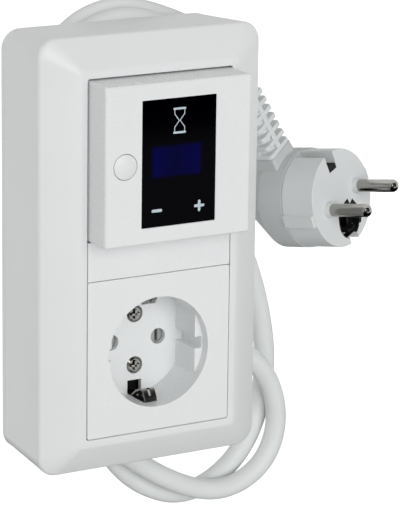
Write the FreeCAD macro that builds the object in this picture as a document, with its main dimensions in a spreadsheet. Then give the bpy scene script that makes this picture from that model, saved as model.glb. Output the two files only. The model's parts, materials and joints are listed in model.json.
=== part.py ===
import FreeCAD, Part
import math
import os
import Sketcher
from FreeCAD import Placement, Rotation, Vector

# A two-gang surface housing that holds a countdown timer above an earthed socket,
# with a 1 m lead and a right-angle earthed plug. Lengths are in millimetres.
# X runs to the right, Y to the rear and Z up. The origin is the centre of the
# rear face, which goes against the wall, so the front of the part faces -Y.

doc = FreeCAD.newDocument("timer_socket_housing")
sheet = doc.addObject("Spreadsheet::Sheet", "sizes")
SUBPARTS = []


class Size:
    """A length that knows its value and its formula on the sheet."""

    def __init__(self, value, formula):
        self.value = float(value)
        self.formula = formula

    def __float__(self):
        return self.value

    def __neg__(self):
        return Size(-self.value, f"(-{self.formula})")

    def __add__(self, other):
        return Size(self.value + float(other), f"({self.formula} + {formula_of(other)})")

    def __radd__(self, other):
        return Size(float(other) + self.value, f"({formula_of(other)} + {self.formula})")

    def __sub__(self, other):
        return Size(self.value - float(other), f"({self.formula} - {formula_of(other)})")

    def __rsub__(self, other):
        return Size(float(other) - self.value, f"({formula_of(other)} - {self.formula})")

    def __mul__(self, other):
        return Size(self.value * float(other), f"({self.formula} * {formula_of(other)})")

    def __rmul__(self, other):
        return Size(float(other) * self.value, f"({formula_of(other)} * {self.formula})")

    def __truediv__(self, other):
        return Size(self.value / float(other), f"({self.formula} / {formula_of(other)})")


def formula_of(number):
    return number.formula if isinstance(number, Size) else f"{float(number):.6f}"


def size(alias, value, note):
    """Write one driving dimension on the sheet and return it."""
    row = size.rows = size.rows + 1
    sheet.set(f"A{row}", note)
    sheet.set(f"B{row}", str(value))
    sheet.setAlias(f"B{row}", alias)
    return Size(value, f"sizes.{alias}")


size.rows = 0

# Driving dimensions: the housing

margin_x = size("margin_x", 15.1, "window to the housing's widest edge, sideways")
margin_z = size("margin_z", 13.7, "window to the housing's widest edge, up and down")
box_depth = size("box_depth", 38.5, "wall to the front lip")
side_draft = size("side_draft", 1.5, "how far each side leans in towards the wall")
corner_radius = size("corner_radius", 7.0, "corner radius seen from the front")
shell_wall = size("shell_wall", 2.2, "wall of the housing")
bevel_depth = size("bevel_depth", 7.4, "depth of the picture-frame bevel")
bevel_crown = size("bevel_crown", 0.5, "how far the bevel bulges at its middle")
lip_width = size("lip_width", 2.3, "flat lip round the window")
lip_radius = size("lip_radius", 1.4, "corner radius of the lip")
edge_round = size("edge_round", 2.0, "rounding where the bevel meets the sides")
base_thick = size("base_thick", 2.3, "wall plate thickness")
fit_gap = size("fit_gap", 0.3, "gap between pieces that lie beside each other")
joint_gap = size("joint_gap", 0.2, "gap at the joints between the inserts")
slip_gap = size("slip_gap", 0.1, "gap between pieces that almost touch")

# Driving dimensions: inserts

module_pitch = size("module_pitch", 71.0, "distance between the two insert centres")
plate_size = size("plate_size", 56.6, "side of the square socket plate")
plate_thick = size("plate_thick", 2.5, "thickness of the socket plate and spacer")
plate_radius = size("plate_radius", 0.8, "corner radius of the plates")
ring_forward = size("ring_forward", 31.0, "wall to the back of the support rings")
ring_thick = size("ring_thick", 1.0, "sheet thickness of the support rings")
ring_margin = size("ring_margin", 5.7, "side of a plate to the side of its support ring")
ring_space = size("ring_space", 4.0, "gap between the two support rings")
ring_corner = size("ring_corner", 12.0, "corner radius of a support ring")
ring_screw_inset = size("ring_screw_inset", 2.8, "side of a support ring to its fixing screw")
post_radius = size("post_radius", 3.5, "radius of the posts that carry the rings")
screw_radius = size("screw_radius", 1.5, "radius of the small fixing screws")
screw_head = size("screw_head", 2.8, "radius of the small screw heads")
head_thick = size("head_thick", 1.4, "thickness of the small screw heads")
screw_play = size("screw_play", 0.5, "end of a screw to the end of its pilot hole")
boss_inset_x = size("boss_inset_x", 9.1, "cover screw to the housing's widest edge, sideways")
boss_inset_z = size("boss_inset_z", 8.8, "cover screw to the housing's widest edge, up and down")
boss_radius = size("boss_radius", 3.6, "radius of the cover's screw bosses")
wall_hole_radius = size("wall_hole_radius", 2.25, "radius of the holes for wall screws")
wall_hole_spacing = size("wall_hole_spacing", 100.0, "distance between the two wall screw holes")
boss_top = size("boss_top", 2.4, "widest edge of the cover to the front of its screw bosses")
pilot_depth = size("pilot_depth", 10.0, "depth of the pilot holes for screws")
lip_step = size("lip_step", 0.9, "how far the bevel's inner face stands back from the window")
thread_gap = size("thread_gap", 0.05, "gap between a screw or a moulded lead and its hole")
clamp_pilot_depth = size("clamp_pilot_depth", 7.0, "depth of the pilot holes for the clamp's screws")
foot_reach = size("foot_reach", 23.0, "middle of the spacer to each foot")
foot_half = size("foot_half", 3.0, "half the width of a spacer foot")
foot_step = size("foot_step", 1.0, "edge of the spacer to the edge of its feet")
leg_width = size("leg_width", 8.0, "width of the legs that hold the socket base")
leg_grip = size("leg_grip", 4.0, "back of the socket base to the end of those legs")

# Driving dimensions: timer insert

timer_rise = size("timer_rise", 12.7, "timer front above the lip")
timer_width = size("timer_width", 57.0, "timer front plate width")
timer_height = size("timer_height", 56.0, "timer front plate height")
timer_plate = size("timer_plate", 2.7, "timer front plate thickness")
timer_groove = size("timer_groove", 0.6, "shadow groove behind the timer plate")
block_size = size("block_size", 56.2, "side of the timer's square body")
neck_inset = size("neck_inset", 0.6, "how far the groove is set in")
block_wall = size("block_wall", 1.5, "wall of the timer's square body")
timer_edge = size("timer_edge", 0.9, "rounding of the timer plate's front edge")
panel_width = size("panel_width", 28.8, "glossy panel width")
panel_height = size("panel_height", 44.2, "glossy panel height")
panel_thick = size("panel_thick", 1.6, "glossy panel thickness")
panel_ledge = size("panel_ledge", 1.2, "ledge that the glossy panel rests on")
button_x = size("button_x", 20.9, "push button to the timer's middle")
button_radius = size("button_radius", 4.4, "push button radius")
button_gap = size("button_gap", 0.2, "gap round the push button")
button_travel = size("button_travel", 0.8, "push button travel")
button_rise = size("button_rise", 0.9, "how far the button's dome stands proud")
button_flange = size("button_flange", 5.2, "radius of the flange behind the button")
board_thick = size("board_thick", 1.2, "circuit board thickness")
board_drop = size("board_drop", 7.8, "timer front to the control board")
switch_side = size("switch_side", 6.0, "side of the button's small switch")
switch_height = size("switch_height", 3.0, "height of the button's small switch")
plunger_radius = size("plunger_radius", 1.6, "radius of the switch plunger")
display_width = size("display_width", 24.0, "display module width")
display_height = size("display_height", 15.0, "display module height")
case_size = size("case_size", 46.0, "side of the power module's case")
case_back = size("case_back", 10.0, "wall to the back of the power module")
case_wall = size("case_wall", 1.6, "wall of the power module's case")
relay_x = size("relay_x", 9.0, "relay to the timer's middle")
coil_radius = size("coil_radius", 4.2, "relay coil radius")
coil_height = size("coil_height", 10.0, "relay coil height")
coil_lift = size("coil_lift", 1.0, "middle of the relay to its coil, upwards")
core_rise = size("core_rise", 0.4, "how far the relay's core stands out of its coil")
yoke_rise = size("yoke_rise", 0.6, "relay core to the top of its yoke")
yoke_z = size("yoke_z", 7.0, "middle of the timer to the relay's yoke")
relay_half = size("relay_half", 5.0, "half the width of the relay's yoke")
relay_side = size("relay_side", 6.5, "half the width of the relay's base")
relay_low = size("relay_low", 10.0, "middle of the timer to the underside of the relay")
relay_top = size("relay_top", 8.5, "middle of the timer to the top of the relay")
relay_foot = size("relay_foot", 2.0, "thickness of the relay's base")
armature_reach = size("armature_reach", 6.5, "middle of the timer to the armature's free end")
armature_side = size("armature_side", 1.0, "edge of the yoke to the edge of the armature")
contact_drop = size("contact_drop", 1.8, "top of the relay's yoke to its contact")
contact_low = size("contact_low", 8.6, "middle of the timer to the contact's post")
contact_end = size("contact_end", 5.6, "middle of the timer to the contact's free end")
contact_half = size("contact_half", 2.0, "half the width of the relay's contact")
capacitor_left = size("capacitor_left", 16.0, "middle of the timer to the capacitor's far side")
capacitor_width = size("capacitor_width", 11.0, "width of the capacitor")
capacitor_low = size("capacitor_low", 4.0, "middle of the timer to the underside of the capacitor")
capacitor_height = size("capacitor_height", 16.0, "height of the capacitor, upwards")
capacitor_depth = size("capacitor_depth", 10.0, "depth of the capacitor off its board")
varistor_radius = size("varistor_radius", 4.0, "radius of the varistor")
varistor_thick = size("varistor_thick", 4.0, "thickness of the varistor")
varistor_x = size("varistor_x", -10.0, "middle of the timer to the varistor, sideways")
varistor_z = size("varistor_z", -11.0, "middle of the timer to the varistor, upwards")
header_inset = size("header_inset", 5.0, "outside of the module case to the board header")
header_pitch = size("header_pitch", 2.54, "distance between the header's pins")
header_thick = size("header_thick", 2.5, "side of the header's plastic body")
header_pin = size("header_pin", 0.5, "radius of a header pin")
rim_width = size("rim_width", 3.0, "how far the module case's rim stands out")
peg_side = size("peg_side", 3.0, "side of the pegs under the power board")
peg_inset = size("peg_inset", 2.2, "wall of the module case to the middle of a peg")
peg_height = size("peg_height", 2.0, "floor of the module case to the power board")
post_half = size("post_half", 2.8, "half the side of the posts under the control board")
post_root = size("post_root", 0.2, "how far those posts run into the wall beside them")
board_pilot = size("board_pilot", 6.0, "depth of the pilot holes in those posts")
display_x = size("display_x", -1.0, "middle of the display, sideways")
display_z = size("display_z", 0.6, "middle of the display above the timer's middle")
touch_radius = size("touch_radius", 2.6, "radius of the touch springs")
touch_wall = size("touch_wall", 0.7, "wall of the touch springs")
button_flange_thick = size("button_flange_thick", 1.0, "thickness of the flange behind the button")
plunger_gap = size("plunger_gap", 0.15, "gap round the switch plunger")
plunger_floor = size("plunger_floor", 0.4, "room left behind the pressed switch plunger")
terminal_low = size("terminal_low", 20.5, "timer's middle to the underside of its terminals")
terminal_top = size("terminal_top", 11.5, "timer's middle to the top of its terminals")
terminal_back = size("terminal_back", 3.6, "wall to the back of the terminal block")
terminal_half = size("terminal_half", 12.0, "half the width of the terminal block")
terminal_pitch = size("terminal_pitch", 7.6, "distance between the terminals")
terminal_depth = size("terminal_depth", 3.4, "depth of the holes for the terminal screws")
terminal_screw = size("terminal_screw", 1.9, "radius of the terminal screws")

# Driving dimensions: socket insert

dish_radius = size("dish_radius", 20.0, "socket dish radius at its mouth")
dish_depth = size("dish_depth", 17.5, "socket dish depth")
dish_step = size("dish_step", 3.8, "depth at which the dish's flats begin")
dish_flat = size("dish_flat", 16.8, "middle of the dish to each flat")
dish_wall = size("dish_wall", 1.8, "wall of the socket dish")
dish_floor = size("dish_floor", 2.0, "floor thickness of the socket dish")
key_height = size("key_height", 4.3, "height of the keyway in each flat")
key_reach = size("key_reach", 19.5, "middle of the dish to the keyway's end")
pin_spacing = size("pin_spacing", 19.0, "distance between the mains pins")
pin_hole_radius = size("pin_hole_radius", 2.9, "radius of the holes for the pins")
cover_screw_z = size("cover_screw_z", 9.5, "socket screw to the middle of the dish")
cover_head = size("cover_head", 3.0, "radius of the socket screws' heads")
earth_slot = size("earth_slot", 5.6, "width of the earth contact slots")
earth_start = size("earth_start", 15.0, "middle of the dish to the earth slot")
earth_width = size("earth_width", 4.8, "width of the earth contact strip")
sheet_metal = size("sheet_metal", 0.8, "thickness of the contact strips")
base_back = size("base_back", 5.0, "wall to the back of the socket base")
base_half_x = size("base_half_x", 22.2, "half the width of the socket base")
base_half_z = size("base_half_z", 20.1, "half the height of the socket base")
shutter_room = size("shutter_room", 2.4, "room for the shutter behind the dish")
shutter_thick = size("shutter_thick", 1.6, "shutter thickness")
shutter_reach = size("shutter_reach", 13.2, "shutter centre to its end")
shutter_half = size("shutter_half", 3.4, "half the shutter's width")
shutter_slit = size("shutter_slit", 1.2, "width of the slit in each shutter arm")
hub_radius = size("hub_radius", 1.6, "radius of the shutter's pivot")
sleeve_radius = size("sleeve_radius", 3.1, "outer radius of the contact sleeves")
sleeve_bore = size("sleeve_bore", 2.5, "inner radius of the contact sleeves")
sleeve_floor = size("sleeve_floor", 1.0, "floor thickness of the contact sleeves")
sleeve_slit = size("sleeve_slit", 0.6, "width of the slit in the contact sleeves")
sleeve_lift = size("sleeve_lift", 1.3, "back of the socket base to the contact sleeves")
spring_radius = size("spring_radius", 3.2, "outer radius of the shutter spring")
spring_height = size("spring_height", 2.0, "height of the shutter spring")
hub_wall = size("hub_wall", 2.6, "wall of the shutter's hub")
slit_margin = size("slit_margin", 1.0, "edge of a shutter arm to its slit")
slit_offset = size("slit_offset", 0.6, "pin line to the middle of a shutter arm's slit")
cover_pilot = size("cover_pilot", 8.0, "depth of the pilot holes for the socket's screws")
sink_depth = size("sink_depth", 1.2, "depth of the recesses for those screws' heads")
earth_drop = size("earth_drop", 5.5, "front of the socket plate to its earth slots")

# Driving dimensions: cord and plug

cord_radius = size("cord_radius", 3.9, "radius of the lead")
gland_x = size("gland_x", 16.0, "cord gland to the middle of the housing")
gland_low = size("gland_low", 46.5, "underside of the cord gland")
gland_length = size("gland_length", 16.0, "length of the cord gland")
gland_axis = size("gland_axis", 6.4, "wall plane to the lead's centre line in the gland")
gland_wall = size("gland_wall", 1.8, "wall of the cord gland")
collar_rise = size("collar_rise", 0.6, "how far the bend guard's collar stands out")
collar_thick = size("collar_thick", 2.4, "thickness of the bend guard's collar")
clamp_z = size("clamp_z", 10.0, "underside of the gland to the cord clamp")
clamp_screw_x = size("clamp_screw_x", 6.1, "clamp screw to the lead's centre line")
clamp_half = size("clamp_half", 2.2, "half the width of the cord clamp")
clamp_thick = size("clamp_thick", 2.4, "thickness of the cord clamp")
guard_length = size("guard_length", 30.0, "length of the bend guard at the housing")
guard_root = size("guard_root", 5.9, "radius of the bend guard at the housing")
guard_tip = size("guard_tip", 4.8, "radius of the bend guard at its tip")
plug_radius = size("plug_radius", 18.3, "radius of the plug's face")
plug_front = size("plug_front", 14.0, "depth of the plug's front part")
plug_waist = size("plug_waist", 24.5, "plug face to where its back starts to taper")
plug_depth = size("plug_depth", 38.0, "depth of the plug without its pins")
plug_tail = size("plug_tail", 10.0, "radius of the plug's back at its end")
tail_round = size("tail_round", 2.5, "rounding of the plug's back end")
seam_lip = size("seam_lip", 0.4, "how far the plug's back stands out beside its front")
tail_lift = size("tail_lift", 3.9, "how far the plug's back end is set towards the lead")
plug_round = size("plug_round", 0.35, "rounding of the rim of the plug's face")
neck_root = size("neck_root", 7.4, "half width of the plug's neck at its root")
neck_edge = size("neck_edge", 0.9, "rounding of the neck's long edges")
neck_start = size("neck_start", 6.0, "plug axis to the hidden end of its neck")
collar_height = size("pin_collar_height", 2.2, "height of the collar round each plug pin")
pin_collar = size("pin_collar", 2.85, "radius of the collar round each plug pin")
neck_step = size("pin_neck_step", 0.2, "how far a pin is turned down inside the plug")
core_half = size("core_half", 2.4, "half the width of the plug's dark core")
core_tip = size("core_tip", 2.0, "how much of the dark core shows below each notch")
core_set_back = size("core_set_back", 1.4, "plug face to the front of its dark core")
pin_radius = size("pin_radius", 2.4, "radius of a plug pin")
pin_length = size("pin_length", 19.0, "length of a plug pin")
pin_root = size("pin_root", 10.0, "length of a pin inside the plug")
pin_point = size("pin_point", 2.1, "rounding of a pin's tip")
ridge_width = size("ridge_width", 4.4, "width of the plug's side ridges")
ridge_rise = size("ridge_rise", 1.1, "height of the plug's side ridges")
ridge_stop = size("ridge_stop", 0.8, "plug face to the end of its side ridges")
notch_width = size("notch_width", 5.0, "width of the plug's earth notches")
notch_depth = size("notch_depth", 4.8, "depth of the plug's earth notches")
clip_set_back = size("clip_set_back", 4.5, "plug face to the ends of its earth clips")
clip_margin = size("clip_margin", 0.6, "side of a notch to its earth clip")
earth_hole_y = size("earth_hole_y", 10.0, "plug's earth hole to the pin line")
earth_hole_radius = size("earth_hole_radius", 3.2, "radius of the core's earth hole")
earth_mouth = size("earth_mouth", 6.4, "radius of the earth opening in the plug's face")
earth_peak = size("earth_peak", 1.1, "radius of the two peaks of that opening")
peak_x = size("peak_x", 1.7, "plug axis to each of those peaks")
earth_set_back = size("earth_set_back", 3.0, "plug face to the core inside that opening")
earth_hole_depth = size("earth_hole_depth", 12.5, "depth of the plug's earth hole")
sleeve_set_back = size("sleeve_set_back", 3.0, "plug face to the mouth of the earth sleeve")
exit_depth = size("exit_depth", 24.6, "plug face to the lead's centre line")
relief_start = size("relief_start", 22.0, "plug axis to the first rib of its strain relief")
relief_end = size("relief_end", 50.0, "plug axis to the end of its strain relief")
relief_root = size("relief_root", 6.6, "half width of the largest rib")
relief_tip = size("relief_tip", 5.8, "half width of the smallest rib")
relief_core = size("relief_core", 4.7, "radius of the strain relief's core")
core_taper = size("core_taper", 0.4, "how much wider that core is at the plug")
spine_half = size("spine_half", 1.1, "half the width of the spine down each side of the relief")
spine_drop = size("spine_drop", 0.25, "how far the spines stand back from the ribs")
rib_round = size("rib_round", 1.4, "rounding of the ribs' corners")
rib_pitch = size("rib_pitch", 3.85, "spacing of the ribs")
rib_thick = size("rib_thick", 1.9, "thickness of a rib")
seam_gap = size("seam_gap", 0.3, "width of the seam line on the plug")
seam_depth = size("seam_depth", 2.0, "depth of the seam line on the plug")
seam_bond = size("seam_bond", 0.5, "how far the plug's back reaches over its seam")

doc.recompute()

# Worked-out places, measured forward from the wall

window_width = plate_size + 2 * fit_gap
window_height = module_pitch + plate_size + 2 * fit_gap
box_width = window_width + 2 * margin_x
box_height = window_height + 2 * margin_z
boss_x = box_width / 2 - boss_inset_x
boss_z = box_height / 2 - boss_inset_z
hood_edge = box_depth - bevel_depth
ring_width = plate_size + 2 * ring_margin
ring_height = module_pitch - ring_space
ring_screw_reach = ring_width / 2 - ring_screw_inset
header_z = case_size / 2 - header_inset
ring_front = ring_forward + ring_thick
plate_back = box_depth - plate_thick
timer_front = box_depth + timer_rise
plate_rear = timer_front - timer_plate
block_front = plate_rear - timer_groove
control_front = timer_front - board_drop
control_back = control_front - board_thick
rear_width = box_width - 2 * side_draft
rear_height = box_height - 2 * side_draft
upper = module_pitch / 2
lower = -module_pitch / 2
dish_bottom = box_depth - dish_depth
dish_back = dish_bottom - dish_floor
base_front = dish_back - shutter_room
dish_outer = dish_radius + dish_wall
earth_front = box_depth - earth_drop
sleeve_back = base_back + sleeve_lift
post_place = block_size / 2 - block_wall - post_half + post_root
peg_place = case_size / 2 - case_wall - peg_inset
window_back = timer_front - panel_thick
power_back = case_back + case_wall + peg_height
power_front = power_back + board_thick
collar_radius = guard_root + collar_rise
gland_half = collar_radius + fit_gap + gland_wall
gland_depth = gland_axis + gland_half
clamp_middle = gland_low + clamp_z
clamp_front = base_thick + clamp_thick
guard_tip_z = gland_low - guard_length
entry_top = gland_low + gland_length - gland_wall - joint_gap
notch_floor = plug_radius - notch_depth
flange_front = plate_rear - slip_gap
button_back = flange_front - button_flange_thick
plunger_tip = button_back - slip_gap
switch_top = control_front + switch_height
relay_floor = power_front + relay_foot
core_top = relay_floor + coil_height + core_rise
yoke_top = core_top + yoke_rise
WALL = Size(0, "0")
CORNERS = [(x, z) for x in (-1, 1) for z in (-1, 1)]


def bind(item, path, value):
    """Tie one property to a formula on the sheet, or set a plain number."""
    if isinstance(value, Size):
        item.setExpression(path, value.formula)
    else:
        item.setExpression(path, f"{float(value):.6f}")


def put(item, x=0.0, y=0.0, z=0.0, turn=None):
    """Place an item, with each coordinate tied to its formula."""
    item.Placement = Placement(Vector(float(x), float(y), float(z)), turn or Rotation())
    for axis, value in (("x", x), ("y", y), ("z", z)):
        if isinstance(value, Size):
            item.setExpression(f"Placement.Base.{axis}", value.formula)
    return item


def subpart(item, node):
    """Name a finished piece and keep it for the export."""
    item.Label = node
    SUBPARTS.append(item)
    return item


def block(name, x, y, z):
    """A box between pairs of limits."""
    item = doc.addObject("Part::Box", name)
    bind(item, "Length", x[1] - x[0])
    bind(item, "Width", y[1] - y[0])
    bind(item, "Height", z[1] - z[0])
    return put(item, x[0], y[0], z[0])


def slab(name, x, forward, z):
    """A box whose depth is measured forward from the wall."""
    return block(name, x, (-forward[1], -forward[0]), z)


TURNS = {
    "x": Rotation(Vector(0, 1, 0), 90),
    "y": Rotation(Vector(1, 0, 0), -90),
    "front": Rotation(Vector(1, 0, 0), 90),
    "z": Rotation(),
    "down": Rotation(Vector(1, 0, 0), 180),
}


def rod(name, radius, length, start, axis="z"):
    """A cylinder from its start point along an axis."""
    item = doc.addObject("Part::Cylinder", name)
    bind(item, "Radius", radius)
    bind(item, "Height", length)
    return put(item, *start, turn=TURNS[axis])


def front_rod(name, radius, x, forward, z):
    """A cylinder that points to the front, between two distances from the wall."""
    return rod(name, radius, forward[1] - forward[0], (x, -forward[0], z), "front")


def cone(name, radii, length, start, axis="z"):
    """A cone from its start point along an axis, with a radius for each end."""
    item = doc.addObject("Part::Cone", name)
    bind(item, "Radius1", radii[0])
    bind(item, "Radius2", radii[1])
    bind(item, "Height", length)
    return put(item, *start, turn=TURNS[axis])


def fuse(name, items):
    """Several shapes joined into one."""
    item = doc.addObject("Part::MultiFuse", name)
    item.Shapes = items
    item.Refine = True
    return item


def cut(name, base, tools):
    """A shape with others taken away from it."""
    item = doc.addObject("Part::Cut", name)
    item.Base = base
    item.Tool = tools[0] if len(tools) == 1 else fuse(f"{name}_tools", tools)
    return item


def group(name, items):
    """Several separate solids that share one node."""
    item = doc.addObject("Part::Compound", name)
    item.Links = items
    return item


def rounded(name, base, radius, wanted):
    """Fillet the edges of a piece that a test picks out."""
    doc.recompute()
    item = doc.addObject("Part::Fillet", name)
    item.Base = base
    numbers = [i for i, edge in enumerate(base.Shape.Edges, 1) if wanted(edge)]
    item.Edges = [(i, float(radius), float(radius)) for i in numbers]
    return item


def runs_along(edge, direction):
    """Whether a straight edge lies along a direction."""
    if edge.Curve.TypeId != "Part::GeomLine":
        return False
    return abs(abs(edge.tangentAt(edge.FirstParameter).dot(direction)) - 1) < 1e-6


# Sketch helpers: XZ sketches look at the front, so their depth runs forward

def new_body(name):
    """A body made of sketches and features."""
    return doc.addObject("PartDesign::Body", name)


def sketch_on(body, name, offset=0.0, role="XZ_Plane"):
    """A sketch parallel to one of its body's origin planes."""
    plane = [f for f in body.Origin.OriginFeatures if f.Role == role][0]
    sketch = body.newObject("Sketcher::SketchObject", name)
    sketch.AttachmentSupport = [(plane, "")]
    sketch.MapMode = "FlatFace"
    bind(sketch, "AttachmentOffset.Base.z", offset)
    return sketch


def constrain(sketch, kind, *where, value=None):
    """Add one constraint, and tie its value to the sheet if it has one."""
    if value is None:
        sketch.addConstraint(Sketcher.Constraint(kind, *where))
        return
    index = sketch.addConstraint(Sketcher.Constraint(kind, *where, float(value)))
    sketch.setExpression(f"Constraints[{index}]", formula_of(value))


def pin_down(sketch, geometry, point, x, y):
    """Fix a sketch point at signed distances from the sketch's origin."""
    for kind, value, axis in (("DistanceX", x, -2), ("DistanceY", y, -1)):
        if float(value) == 0:
            constrain(sketch, "PointOnObject", geometry, point, axis)
        elif float(value) > 0:
            constrain(sketch, kind, -1, 1, geometry, point, value=value)
        else:
            constrain(sketch, kind, geometry, point, -1, 1, value=-value)


def add_circle(sketch, radius, x=0.0, y=0.0):
    """A circle about a centre."""
    shape = Part.Circle(Vector(float(x), float(y), 0), Vector(0, 0, 1), float(radius))
    index = sketch.addGeometry(shape)
    constrain(sketch, "Radius", index, value=radius)
    pin_down(sketch, index, 3, x, y)


def add_rectangle(sketch, width, height, x=0.0, y=0.0, radius=None):
    """A rectangle about a centre, with round corners where a radius is given."""
    right, left = x + width / 2, x - width / 2
    top, bottom = y + height / 2, y - height / 2
    r, l, t, b = float(right), float(left), float(top), float(bottom)
    q = float(radius) if radius else 0.0
    corners = ((r, b, 1, -1), (r, t, -1, -1), (l, t, -1, 1), (l, b, 1, 1))
    ends = ((Vector(l + q, b), Vector(r - q, b)), (Vector(r, b + q), Vector(r, t - q)),
            (Vector(r - q, t), Vector(l + q, t)), (Vector(l, t - q), Vector(l, b + q)))
    lines = [sketch.addGeometry(Part.LineSegment(*pair)) for pair in ends]
    if radius:
        centres = (Vector(r - q, b + q), Vector(r - q, t - q), Vector(l + q, t - q), Vector(l + q, b + q))
        arcs = []
        for turn, centre in enumerate(centres):
            start = math.pi * (turn - 1) / 2
            circle = Part.Circle(centre, Vector(0, 0, 1), q)
            arcs.append(sketch.addGeometry(Part.ArcOfCircle(circle, start, start + math.pi / 2)))
        for turn in range(4):
            constrain(sketch, "Tangent", lines[turn], 2, arcs[turn], 1)
            constrain(sketch, "Tangent", arcs[turn], 2, lines[(turn + 1) % 4], 1)
        for arc in arcs[1:]:
            constrain(sketch, "Equal", arcs[0], arc)
        constrain(sketch, "Radius", arcs[0], value=radius)
    else:
        for turn in range(4):
            constrain(sketch, "Coincident", lines[turn], 2, lines[(turn + 1) % 4], 1)
    constrain(sketch, "Horizontal", lines[0])
    constrain(sketch, "Vertical", lines[1])
    constrain(sketch, "Horizontal", lines[2])
    constrain(sketch, "Vertical", lines[3])
    for line, kind, value in ((lines[1], "DistanceX", right), (lines[3], "DistanceX", left),
                              (lines[2], "DistanceY", top), (lines[0], "DistanceY", bottom)):
        if float(value) > 0:
            constrain(sketch, kind, -1, 1, line, 1, value=value)
        else:
            constrain(sketch, kind, line, 1, -1, 1, value=-value)


def pad(body, name, sketch, length, backwards=False):
    """Add material from the sketch towards the front, or backwards where asked."""
    feature = body.newObject("PartDesign::Pad", name)
    feature.Profile = sketch
    bind(feature, "Length", length)
    feature.Reversed = backwards
    return feature


def pocket(body, name, sketch, length, forwards=False):
    """Cut away from the sketch towards the wall, or forwards where asked."""
    doc.recompute()
    before = body.Shape.Volume
    feature = body.newObject("PartDesign::Pocket", name)
    feature.Profile = sketch
    bind(feature, "Length", length)
    feature.Reversed = forwards
    doc.recompute()
    if body.Shape.Volume >= before:
        raise RuntimeError(f"{name} cuts nothing")
    return feature


def loft(body, name, sketches, ruled=True, kind="PartDesign::AdditiveLoft"):
    """Join sketches into one shape, or cut that shape away."""
    feature = body.newObject(kind, name)
    feature.Profile = sketches[0]
    feature.Sections = sketches[1:]
    feature.Ruled = ruled
    return feature


def body_fillet(body, name, radius, wanted):
    """Round the edges of the body's last feature that a test picks out."""
    doc.recompute()
    base = body.Tip
    names = [f"Edge{i}" for i, edge in enumerate(base.Shape.Edges, 1) if wanted(edge)]
    feature = body.newObject("PartDesign::Fillet", name)
    feature.Base = (base, names)
    bind(feature, "Radius", radius)
    return feature


def lies_at_height(edge, height):
    """Whether a whole edge lies at one height."""
    box = edge.BoundBox
    return abs(box.ZMin - float(height)) < 1e-3 and abs(box.ZMax - float(height)) < 1e-3


def lies_at_forward(edge, forward):
    """Whether a whole edge lies at one distance from the wall."""
    box = edge.BoundBox
    return abs(box.YMin + float(forward)) < 1e-3 and abs(box.YMax + float(forward)) < 1e-3


def strip(name, points, thickness, low, high, to_space):
    """Bent sheet metal: a mitred strip along flat points, as wide as low to high."""
    half = float(thickness) / 2
    flat = [Vector(float(a), float(b), 0) for a, b in points]
    headings = [(q - p).normalize() for p, q in zip(flat, flat[1:])]
    sides = []
    for sign in (1, -1):
        row = []
        for i, point in enumerate(flat):
            before = headings[max(i - 1, 0)]
            after = headings[min(i, len(headings) - 1)]
            normal = Vector(-before.y - after.y, before.x + after.x, 0).normalize()
            stretch = half / max(0.2, normal.dot(Vector(-after.y, after.x, 0)))
            row.append(point + normal * (sign * stretch))
        sides.append(row)
    outline = [to_space(p.x, p.y, float(low)) for p in sides[0] + sides[1][::-1]]
    face = Part.Face(Part.makePolygon(outline + outline[:1]))
    width = to_space(0, 0, float(high)) - to_space(0, 0, float(low))
    item = doc.addObject("Part::Feature", name)
    item.Shape = face.extrude(width)
    return item


# Wall plate: it carries the ring posts, the wall screw holes and the cord gland

def make_base_plate():
    """The wall plate with its posts, holes and gland."""
    body = new_body("base_plate_body")
    outline = sketch_on(body, "base_outline")
    add_rectangle(outline, rear_width, rear_height, radius=corner_radius)
    pad(body, "base_pad", outline, base_thick)

    posts = sketch_on(body, "base_posts", base_thick)
    for height in (upper, lower):
        for side in (-1, 1):
            add_circle(posts, post_radius, side * ring_screw_reach, height)
    pad(body, "base_posts_pad", posts, ring_forward - base_thick)

    pilots = sketch_on(body, "base_pilots", ring_forward)
    for height in (upper, lower):
        for side in (-1, 1):
            add_circle(pilots, screw_radius, side * ring_screw_reach, height)
    pocket(body, "base_pilots_cut", pilots, pilot_depth)

    gland = sketch_on(body, "base_gland")
    add_rectangle(gland, 2 * gland_half, gland_length, gland_x, gland_low + gland_length / 2,
                  radius=gland_wall)
    pad(body, "base_gland_pad", gland, gland_depth, backwards=True)

    # The lead, its bend guard and the guard's collar lie in slots that open to the inside
    slots = (("channel", cord_radius, gland_wall, gland_length - gland_wall),
             ("neck", guard_root, WALL, gland_wall),
             ("collar", collar_radius, gland_wall, gland_wall + collar_thick))
    for name, radius, low, high in slots:
        slot = sketch_on(body, f"base_{name}_slot", base_thick)
        add_rectangle(slot, 2 * radius + 2 * fit_gap, high - low, gland_x, gland_low + (low + high) / 2)
        pocket(body, f"base_{name}_cut", slot, base_thick + gland_axis + radius + fit_gap)

    clamp_pilots = sketch_on(body, "base_clamp_pilots", base_thick)
    for side in (-1, 1):
        add_circle(clamp_pilots, screw_radius, gland_x + side * clamp_screw_x, clamp_middle)
    pocket(body, "base_clamp_pilots_cut", clamp_pilots, clamp_pilot_depth)

    holes = sketch_on(body, "base_wall_holes", base_thick)
    for side in (-1, 1):
        add_circle(holes, wall_hole_radius, 0.0, side * wall_hole_spacing / 2)
    pocket(body, "base_wall_holes_cut", holes, base_thick)

    cover_holes = sketch_on(body, "base_cover_holes", base_thick)
    for x, z in CORNERS:
        add_circle(cover_holes, screw_radius + fit_gap, x * boss_x, z * boss_z)
    pocket(body, "base_cover_holes_cut", cover_holes, base_thick)

    sinks = sketch_on(body, "base_head_sinks", head_thick)
    for x, z in CORNERS:
        add_circle(sinks, screw_head + fit_gap, x * boss_x, z * boss_z)
    pocket(body, "base_head_sinks_cut", sinks, head_thick)
    return subpart(body, "base_plate")


make_base_plate()


# Cover: drafted sides, a crowned picture-frame bevel and one tall window

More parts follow.
